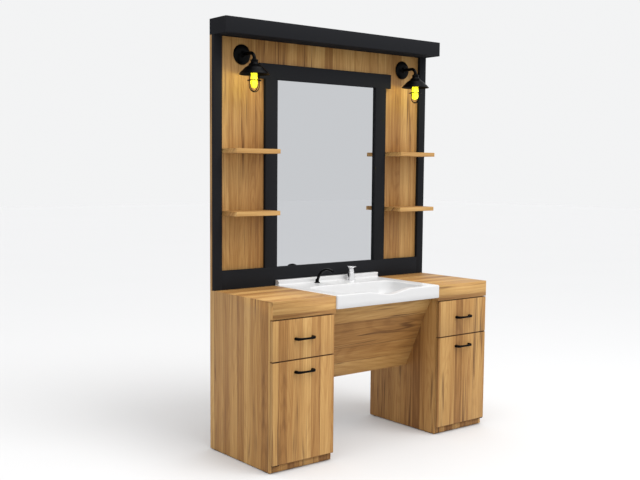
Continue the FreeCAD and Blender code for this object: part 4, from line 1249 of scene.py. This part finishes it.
# ---- handles ----
@dataclass
class Handle:
    """A black bow handle with thicker feet."""

    node: str
    body: str
    foot_half: float = 0.0500           # from the middle to a foot
    reach: float = 0.0260               # from the front to the bow's centre line
    bow: Pair = (0.0040, 0.0050)        # half its thickness and half its height at the middle
    foot: Pair = (0.0084, 0.0070)       # the same at a foot
    swell: float = 0.62                 # share of foot_half from which it grows thicker

    def make(self, bench: Bench) -> None:
        """Build the handle in place of its CAD node.

        Args:
            bench: the bench that the pieces are finished on.
        """
        low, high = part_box(self.node)
        middle = Vector(((low.x + high.x) / 2, high.y, (low.z + high.z) / 2))
        stops = ((1.00, 0.000), (1.00, 0.18), (0.985, 0.42), (0.93, 0.68), (0.80, 0.86), (0.60, 0.93),
                 (0.35, 0.975), (0.0, 1.0))
        plan = [(-x, y) for x, y in stops] + [(x, y) for x, y in stops[-2::-1]]
        path = smooth_path([middle + Vector((x * self.foot_half, -y * self.reach, 0)) for x, y in plan], 5)
        sizes = []
        for point in path:
            share = abs(point.x - middle.x) / self.foot_half
            grown = max(0.0, (share - self.swell) / (1 - self.swell)) ** 1.4
            thick = self.bow[0] + (self.foot[0] - self.bow[0]) * grown
            sizes.append((thick, self.bow[1] + (self.foot[1] - self.bow[1]) * share ** 2))
        shape = bmesh.new()
        add_swept(shape, path, sizes, UP, sides=24, square=0.7)
        plate = softened([(0.0, 0.0), (0.0070, 0.0), (0.0070, 0.0012), (0.0, 0.0012)], 0.0005)
        for sign in SIDES.values():
            add_turned(shape, plate, middle + RIGHT * (sign * self.foot_half), -BACK, segments=32)
        bench.fit(as_object(self.node + "_bow", shape, 60.0), POWDER, self.body, (self.node,))


# ---- lamps ----
@dataclass
class Lamp:
    """A wall lamp: rosette, gooseneck, holder, shade, yellow glass, cage and bulb."""

    side: str
    height: float = 1.960       # of the rosette's middle
    rosette: float = 0.050      # radius, as are the next three
    arm: float = 0.0085
    bend: float = 0.030
    brim: float = 0.076
    seat: float = 1.901         # where the shade hangs on the holder
    cage_radius: float = 0.029
    wire: float = 0.0020        # radius of the cage's wires
    ring: float = 1.826         # height of the ring round the cage
    tube: float = 0.0172        # radius of the glass
    tube_wall: float = 0.0022   # thickness of the glass
    tube_foot: float = 1.7892   # height of its lower end
    glow: float = 1.828         # height of the light

    def __post_init__(self) -> None:
        """Work out the lamp's places from its CAD nodes."""
        sign = SIDES[self.side]
        shade_low, shade_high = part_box("lamp_shades")
        cage_low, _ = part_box("lamp_cages")
        x = sign * (shade_high.x - self.brim)
        self.axis = Vector((x, (shade_low.y + shade_high.y) / 2, 0.0))
        self.brim_z = shade_low.z
        self.cage_foot = cage_low.z
        self.plate = Vector((x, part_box("lamp_brackets")[1].y, self.height))
        self.holder_low, self.holder_high = (corner.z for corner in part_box("lamp_holders"))

    def bracket(self) -> bpy.types.Object:
        """The rosette and the arm that turns down to the lamp."""
        shape = bmesh.new()
        disc = [(0.0, 0.0), (self.rosette, 0.0), (self.rosette, 0.005), (0.044, 0.010), (0.030, 0.013),
                (0.015, 0.0135), (0.0125, 0.020), (0.0, 0.0205)]
        add_turned(shape, softened(disc, 0.0022, 5), self.plate, -BACK)
        reach = self.plate.y - self.axis.y
        path = [self.plate + Vector((0, -0.015, 0))]
        for cosine, sine in arc(math.pi / 2, 16):
            forward, down = self.bend * (1 - sine) - reach, self.bend * (cosine - 1)
            path.append(self.plate + Vector((0, forward, down)))
        path.append(Vector((self.axis.x, self.axis.y, self.holder_high - 0.001)))
        add_swept(shape, path, [(self.arm, self.arm)] * len(path), RIGHT, sides=32)
        collar = softened([(0.0, 0.0), (0.0115, 0.0), (0.0115, 0.006), (0.0, 0.006)], 0.0015)
        add_turned(shape, collar, Vector((self.axis.x, self.axis.y, self.holder_high - 0.0005)))
        return as_object(f"lamp_bracket_{self.side}", shape)

    def holder(self) -> bpy.types.Object:
        """The ribbed holder between the arm and the shade."""
        low, seat, high = self.holder_low, self.seat, self.holder_high
        line = [(0.0, low), (0.0182, low), (0.0182, seat), (0.0270, seat), (0.0275, seat + 0.0022),
                (0.0262, seat + 0.0045), (0.0215, seat + 0.0070), (0.0182, seat + 0.0110),
                (0.0172, seat + 0.0180), (0.0192, seat + 0.0195), (0.0194, high - 0.0015), (0.0180, high),
                (0.0, high)]
        return turned(f"lamp_holder_{self.side}", softened(line, 0.0008), self.axis)

    def shade(self) -> bpy.types.Object:
        """The spun shade with a rolled brim."""
        foot, seat = self.brim_z, self.seat
        outer = [(0.0186, seat), (0.0262, seat), (0.0300, seat - 0.0028), (0.0430, 1.8888), (0.0462, 1.8884),
                 (0.0475, 1.8860), (0.0640, 1.8690), (0.0655, 1.8688), (0.0668, 1.8668),
                 (0.0738, foot + 0.0042)]
        rim = [(0.0754, foot + 0.0036), (self.brim, foot + 0.0020), (0.0758, foot), (0.0740, foot + 0.0004)]
        inner = [(0.0728, foot + 0.0022), (0.061, 1.8684), (0.044, 1.8852), (0.0290, seat - 0.0042),
                 (0.0250, seat - 0.0016), (0.0186, seat - 0.0013)]
        line = softened(outer + rim + inner, 0.0010, 3)
        return turned(f"lamp_shade_{self.side}", line, self.axis, closed=True, segments=96)

    def glass(self) -> bpy.types.Object:
        """The yellow glass, a round-ended tube with a raised ring about its middle."""
        radius, bore, top = self.tube, self.tube - self.tube_wall, self.holder_low
        centre = self.tube_foot + radius
        dome = [(radius * sine, centre - radius * cosine) for cosine, sine in arc(math.pi / 2, 12)]
        bulge = radius + 0.0006
        ring = [(radius, 1.8325), (bulge, 1.8332), (bulge, 1.8348), (radius, 1.8355), (radius, top),
                (bore, top)]
        inside = [(bore * cosine, centre - bore * sine) for cosine, sine in arc(math.pi / 2, 8)]
        return turned(f"lamp_glass_{self.side}", dome + ring + inside, self.axis, segments=48)

    def bulb(self) -> bpy.types.Object:
        """A small round-ended bulb on its cap."""
        line = [(0.0, 1.8100), (0.0045, 1.8108), (0.0080, 1.8135), (0.0100, 1.8180), (0.0105, 1.8240),
                (0.0105, 1.8470), (0.0090, 1.8540), (0.0070, 1.8590), (0.0070, self.holder_low),
                (0.0, self.holder_low)]
        return turned(f"lamp_bulb_{self.side}", softened(line, 0.001), self.axis, segments=32)

    def cage(self, material: bpy.types.Material) -> bpy.types.Object:
        """Four legs that cross below the glass, and a ring round them.

        Args:
            material: the wires' material.

        Returns:
            The cage.
        """
        radius, lines, top = self.cage_radius, [], self.seat - 0.0070
        for way, lift in ((RIGHT, 0.0), (BACK, 2 * self.wire)):
            low = self.cage_foot + self.wire + radius + lift
            bow = [self.axis + way * radius + UP * top]
            bow += [self.axis + way * (radius * c) + UP * (low - radius * s) for c, s in arc(math.pi, 24)]
            bow.append(self.axis - way * radius + UP * top)
            lines.append(bow)
        reach = radius + 2 * self.wire
        lines.append([self.axis + Vector((reach * c, reach * s, self.ring)) for c, s in circle(48)])
        return wires(f"lamp_cage_{self.side}", lines, [False, False, True], self.wire, material)

    def light(self) -> None:
        """The warm light that the bulb throws on the wood."""
        place = self.axis + UP * self.glow
        light = add_light(f"lamp_light_{self.side}", "POINT", place, 0.50, (1.0, 0.95, 0.34))
        light.data.shadow_soft_size = 0.018

    def make(self, bench: Bench) -> None:
        """Build the whole lamp in place of its share of the CAD nodes.

        Args:
            bench: the bench that the pieces are finished on.
        """
        bench.fit(self.bracket(), POWDER, stands_for=("lamp_brackets",))
        bench.fit(self.holder(), POWDER, stands_for=("lamp_holders",))
        bench.fit(self.shade(), POWDER, stands_for=("lamp_shades",))
        glass, bulb = self.glass(), self.bulb()
        bench.fit(glass, LAMP_GLASS, stands_for=("lamp_glasses",))
        bench.fit(bulb, BULB, stands_for=("lamp_bulbs",))
        glass.visible_shadow = bulb.visible_shadow = False
        bench.fit(self.cage(bench.material(POWDER)), POWDER, stands_for=("lamp_cages",))
        self.light()


# ---- small fasteners ----
@dataclass
class Fasteners:
    """Screws and shelf sleeves, each kind one object on each body."""

    head: float = 0.0036                                # radius of a screw's head at scale 1
    turn: float = math.radians(60)                      # largest turn of a screw about its own axis
    sleeve_pitch: float = 0.064
    sleeve_drop: float = 0.0025                         # from the loose shelf down to its studs' centre line
    sleeve_rows: Pair = (0.440, 0.060)                  # from the wall
    sleeve_steps: Sequence[int] = (-2, -1, 1, 2)        # in pitches from the loose shelf's own sleeves
    steel: float = 0.0012                               # thickness of the runners' steel
    runner_height: float = 0.620
    runner_offsets: Sequence[float] = (0.035, 0.225, 0.415)     # from the front of the runners
    rosette_rise: float = 0.036                         # from a rosette's middle to its screws
    rosette_depth: float = 0.0112                       # from the wall panel to the screws in the rosettes
    wall_x: float = 0.250                               # from the middle to a wall screw
    wall_height: float = 0.742
    handle_half: float = 0.048                          # half the hole distance of a handle
    inner_front: float = 0.015                          # thickness of a drawer's inner front

    def screw(self, scale: float = 1.0) -> bpy.types.Object:
        """A button head with a hexagon socket.

        Args:
            scale: its size, 1 for a head of the radius above.

        Returns:
            The head, with its foot at the origin.
        """
        shape = bmesh.new()
        rings = []
        for radius, height in ((1.0, 0.0), (1.0, 0.25), (0.88, 0.45), (0.62, 0.56), (0.5, 0.56), (0.5, 0.18)):
            ring = []
            for step, (c, s) in enumerate(circle(12)):
                size = radius * (0.9 if radius == 0.5 and step % 2 else 1.0)
                ring.append(Vector((size * c, size * s, height)) * self.head * scale)
            rings.append(ring)
        add_rings(shape, rings)
        return as_object("screw_template", shape, 50.0)

    def sleeve(self) -> bpy.types.Object:
        """A steel shelf sleeve, the thin rim that shows on the board."""
        rim = [(0.0023, -0.0004), (0.0034, -0.0002), (0.0034, 0.0002), (0.0031, 0.0005), (0.0025, 0.0005)]
        return turned("sleeve_template", rim, Vector(), closed=True, segments=16)

    @staticmethod
    def cupboard_faces(gap: float) -> list[tuple[float, Vector]]:
        """The inner faces of the cupboards' sides.

        Args:
            gap: how far off a face the place is.

        Returns:
            For each face, X and the direction in which it looks.
        """
        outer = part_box("side_outer_right")[1].x - BOARD - gap
        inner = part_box("side_inner_right")[0].x + BOARD + gap
        faces = ((outer, -1), (inner, 1))
        return [(sign * x, RIGHT * (sign * way)) for sign in SIDES.values() for x, way in faces]

    def sleeve_spots(self) -> list[Spot]:
        """Two columns of shelf sleeves up each cupboard side."""
        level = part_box("cupboard_shelves")[0].z - self.sleeve_drop
        places = [(WALL_Y - row, level + step * self.sleeve_pitch)
                  for row in self.sleeve_rows for step in self.sleeve_steps]
        return [Spot(Vector((x, y, z)), facing) for x, facing in self.cupboard_faces(0.0) for y, z in places]

    def runner_spots(self) -> list[Spot]:
        """Screws of the fixed runner members, seen when a drawer is out."""
        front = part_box("runner_channels")[0].y
        return [Spot(Vector((x, front + offset, self.runner_height)), facing)
                for x, facing in self.cupboard_faces(self.steel) for offset in self.runner_offsets]

    def rosette_spots(self) -> list[Spot]:
        """Two screws through each lamp's rosette."""
        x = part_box("lamp_shades")[1].x - Lamp.brim
        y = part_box("lamp_brackets")[1].y - self.rosette_depth
        heights = (Lamp.height - self.rosette_rise, Lamp.height + self.rosette_rise)
        return [Spot(Vector((sign * x, y, height)), -BACK) for sign in SIDES.values() for height in heights]

    def wall_spots(self) -> list[Spot]:
        """The two wall screws in the rear rail."""
        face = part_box("rear_rail")[0].y
        return [Spot(Vector((sign * self.wall_x, face, self.wall_height)), -BACK) for sign in SIDES.values()]

    def handle_spots(self, kind: str, side: str) -> list[Spot]:
        """Two screws behind a handle.

        Args:
            kind: drawer or door.
            side: left or right.

        Returns:
            Their places on the rear face of the drawer's inner front or of the door.
        """
        low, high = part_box(f"{kind}_handle_{side}")
        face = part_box(f"drawer_front_{side}")[1].y + (self.inner_front if kind == "drawer" else 0.0)
        middle = (low + high) / 2
        places = [middle.x + sign * self.handle_half for sign in SIDES.values()]
        return [Spot(Vector((x, face, middle.z)), BACK) for x in places]

    def make(self, bench: Bench) -> None:
        """Build every kind.

        Args:
            bench: the bench that the pieces are finished on.
        """
        groups = [
            ("shelf_sleeves", self.sleeve_spots(), self.sleeve(), ZINC, STATION),
            ("runner_screws", self.runner_spots(), self.screw(0.75), ZINC, STATION),
            ("rosette_screws", self.rosette_spots(), self.screw(0.9), POWDER, STATION),
            ("wall_screws", self.wall_spots(), self.screw(2.2), ZINC, STATION),
        ]
        for side in SIDES:
            for kind in ("drawer", "door"):
                name, spots = f"{kind}_handle_screws_{side}", self.handle_spots(kind, side)
                groups.append((name, spots, self.screw(1.1), ZINC, f"{kind}_{side}"))
        for name, spots, template, finish, body in groups:
            piece = repeated(name, spots, template, self.turn, bench.material(finish))
            bench.fit(piece, finish, body)


# ---- studio ----
@dataclass
class Studio:
    """Floor, lights, world and camera."""

    eye: Vector = field(default_factory=lambda: Vector((-3.1709, -3.5581, 1.3908)))
    yaw: float = math.radians(37.893)        # from +Y towards +X
    pitch: float = math.radians(5.150)       # downwards
    roll: float = math.radians(0.351)
    focal_pixels: float = 923.07
    principal: Pair = (296.0, 254.0)         # pixels right of and below the picture's top left corner
    image: Pair = (640.0, 480.0)
    sensor: float = 36.0
    floor_half: float = 30.0
    floor_thick: float = 0.02
    warm_white: Colour = (1.0, 0.995, 0.985)
    softbox: float = 2.8

    def camera(self) -> None:
        """Set the camera up from its place, direction and principal point."""
        data = bpy.data.cameras.new("studio_camera")
        width, height = self.image
        data.sensor_fit = "HORIZONTAL"
        data.sensor_width = self.sensor
        data.lens = self.focal_pixels * self.sensor / width
        data.shift_x = (width / 2 - self.principal[0]) / width
        data.shift_y = (self.principal[1] - height / 2) / width
        camera = in_scene("studio_camera", data)
        camera.matrix_world = (
            Matrix.Translation(self.eye)
            @ Matrix.Rotation(-self.yaw, 4, "Z")
            @ Matrix.Rotation(math.pi / 2 - self.pitch, 4, "X")
            @ Matrix.Rotation(self.roll, 4, "Z")
        )
        bpy.context.scene.camera = camera

    @staticmethod
    def sun(name: str, place: Vector, energy: float, spread: float, colour: Colour) -> None:
        """A wide soft light that shines towards the origin.

        Args:
            name: the light's name.
            place: where it shines from.
            energy: its strength.
            spread: its width in degrees.
            colour: its colour.
        """
        lamp = add_light(name, "SUN", place, energy, colour)
        lamp.data.angle = math.radians(spread)
        lamp.rotation_mode = "QUATERNION"
        lamp.rotation_quaternion = (-place).to_track_quat("-Z", "Y")

    def floor(self) -> None:
        """A wide pale floor."""
        shape = bmesh.new()
        corners = ((-1, -1), (1, -1), (1, 1), (-1, 1))
        levels, reach = (-self.floor_thick, 0.0), self.floor_half
        add_rings(shape, [[Vector((x * reach, y * reach, z)) for x, y in corners] for z in levels])
        floor = as_object("floor", shape)
        sh = Shader("pale_floor")
        x, y, z = sh.place()
        cloud = sh.noise(sh.point(x, y, z), 0.7, 2.0)
        colour = sh.mix(cloud, (0.682, 0.684, 0.690), (0.692, 0.694, 0.700))
        sockets = {"Base Color": colour, "Roughness": 0.8, "Specular IOR Level": 0.1}
        floor.data.materials.append(sh.finish(None, 0.0, sockets))

    def world(self) -> None:
        """An even pale world."""
        world = bpy.data.worlds.new("pale_world")
        world.use_nodes = True
        background = world.node_tree.nodes["Background"]
        background.inputs["Color"].default_value = (0.990, 0.995, 1.0, 1.0)
        background.inputs["Strength"].default_value = 0.905
        bpy.context.scene.world = world

    def make(self) -> None:
        """Build the studio."""
        self.camera()
        self.floor()
        self.world()
        softbox = add_light("softbox", "AREA", Vector((0.0, -1.3, 4.2)), 62.0, self.warm_white)
        softbox.data.size = self.softbox
        self.sun("overhead", Vector((0.0, -0.3, 5.0)), 0.52, 100.0, self.warm_white)
        self.sun("front", Vector((1.4, -3.0, 3.8)), 1.04, 38.0, (1.0, 0.99, 0.975))
        bpy.context.scene.view_settings.view_transform = "Standard"


def main() -> None:
    """Dress the frame, add the fine pieces and set up the studio."""
    logging.basicConfig(level=logging.INFO, format="%(name)s %(message)s")
    bench = Bench()
    Boards().dress(bench)
    Basin().make(bench)
    Waste().make(bench)
    Spout().make(bench)
    Mixer().make(bench)
    for side in SIDES:
        Handle(f"drawer_handle_{side}", f"drawer_{side}").make(bench)
        Handle(f"door_handle_{side}", f"door_{side}").make(bench)
        Lamp(side).make(bench)
    Fasteners().make(bench)
    Studio().make()
    log.info("%d pieces and %d CAD nodes are dressed", bench.count, len(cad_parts))


if __name__ == "__main__":
    main()
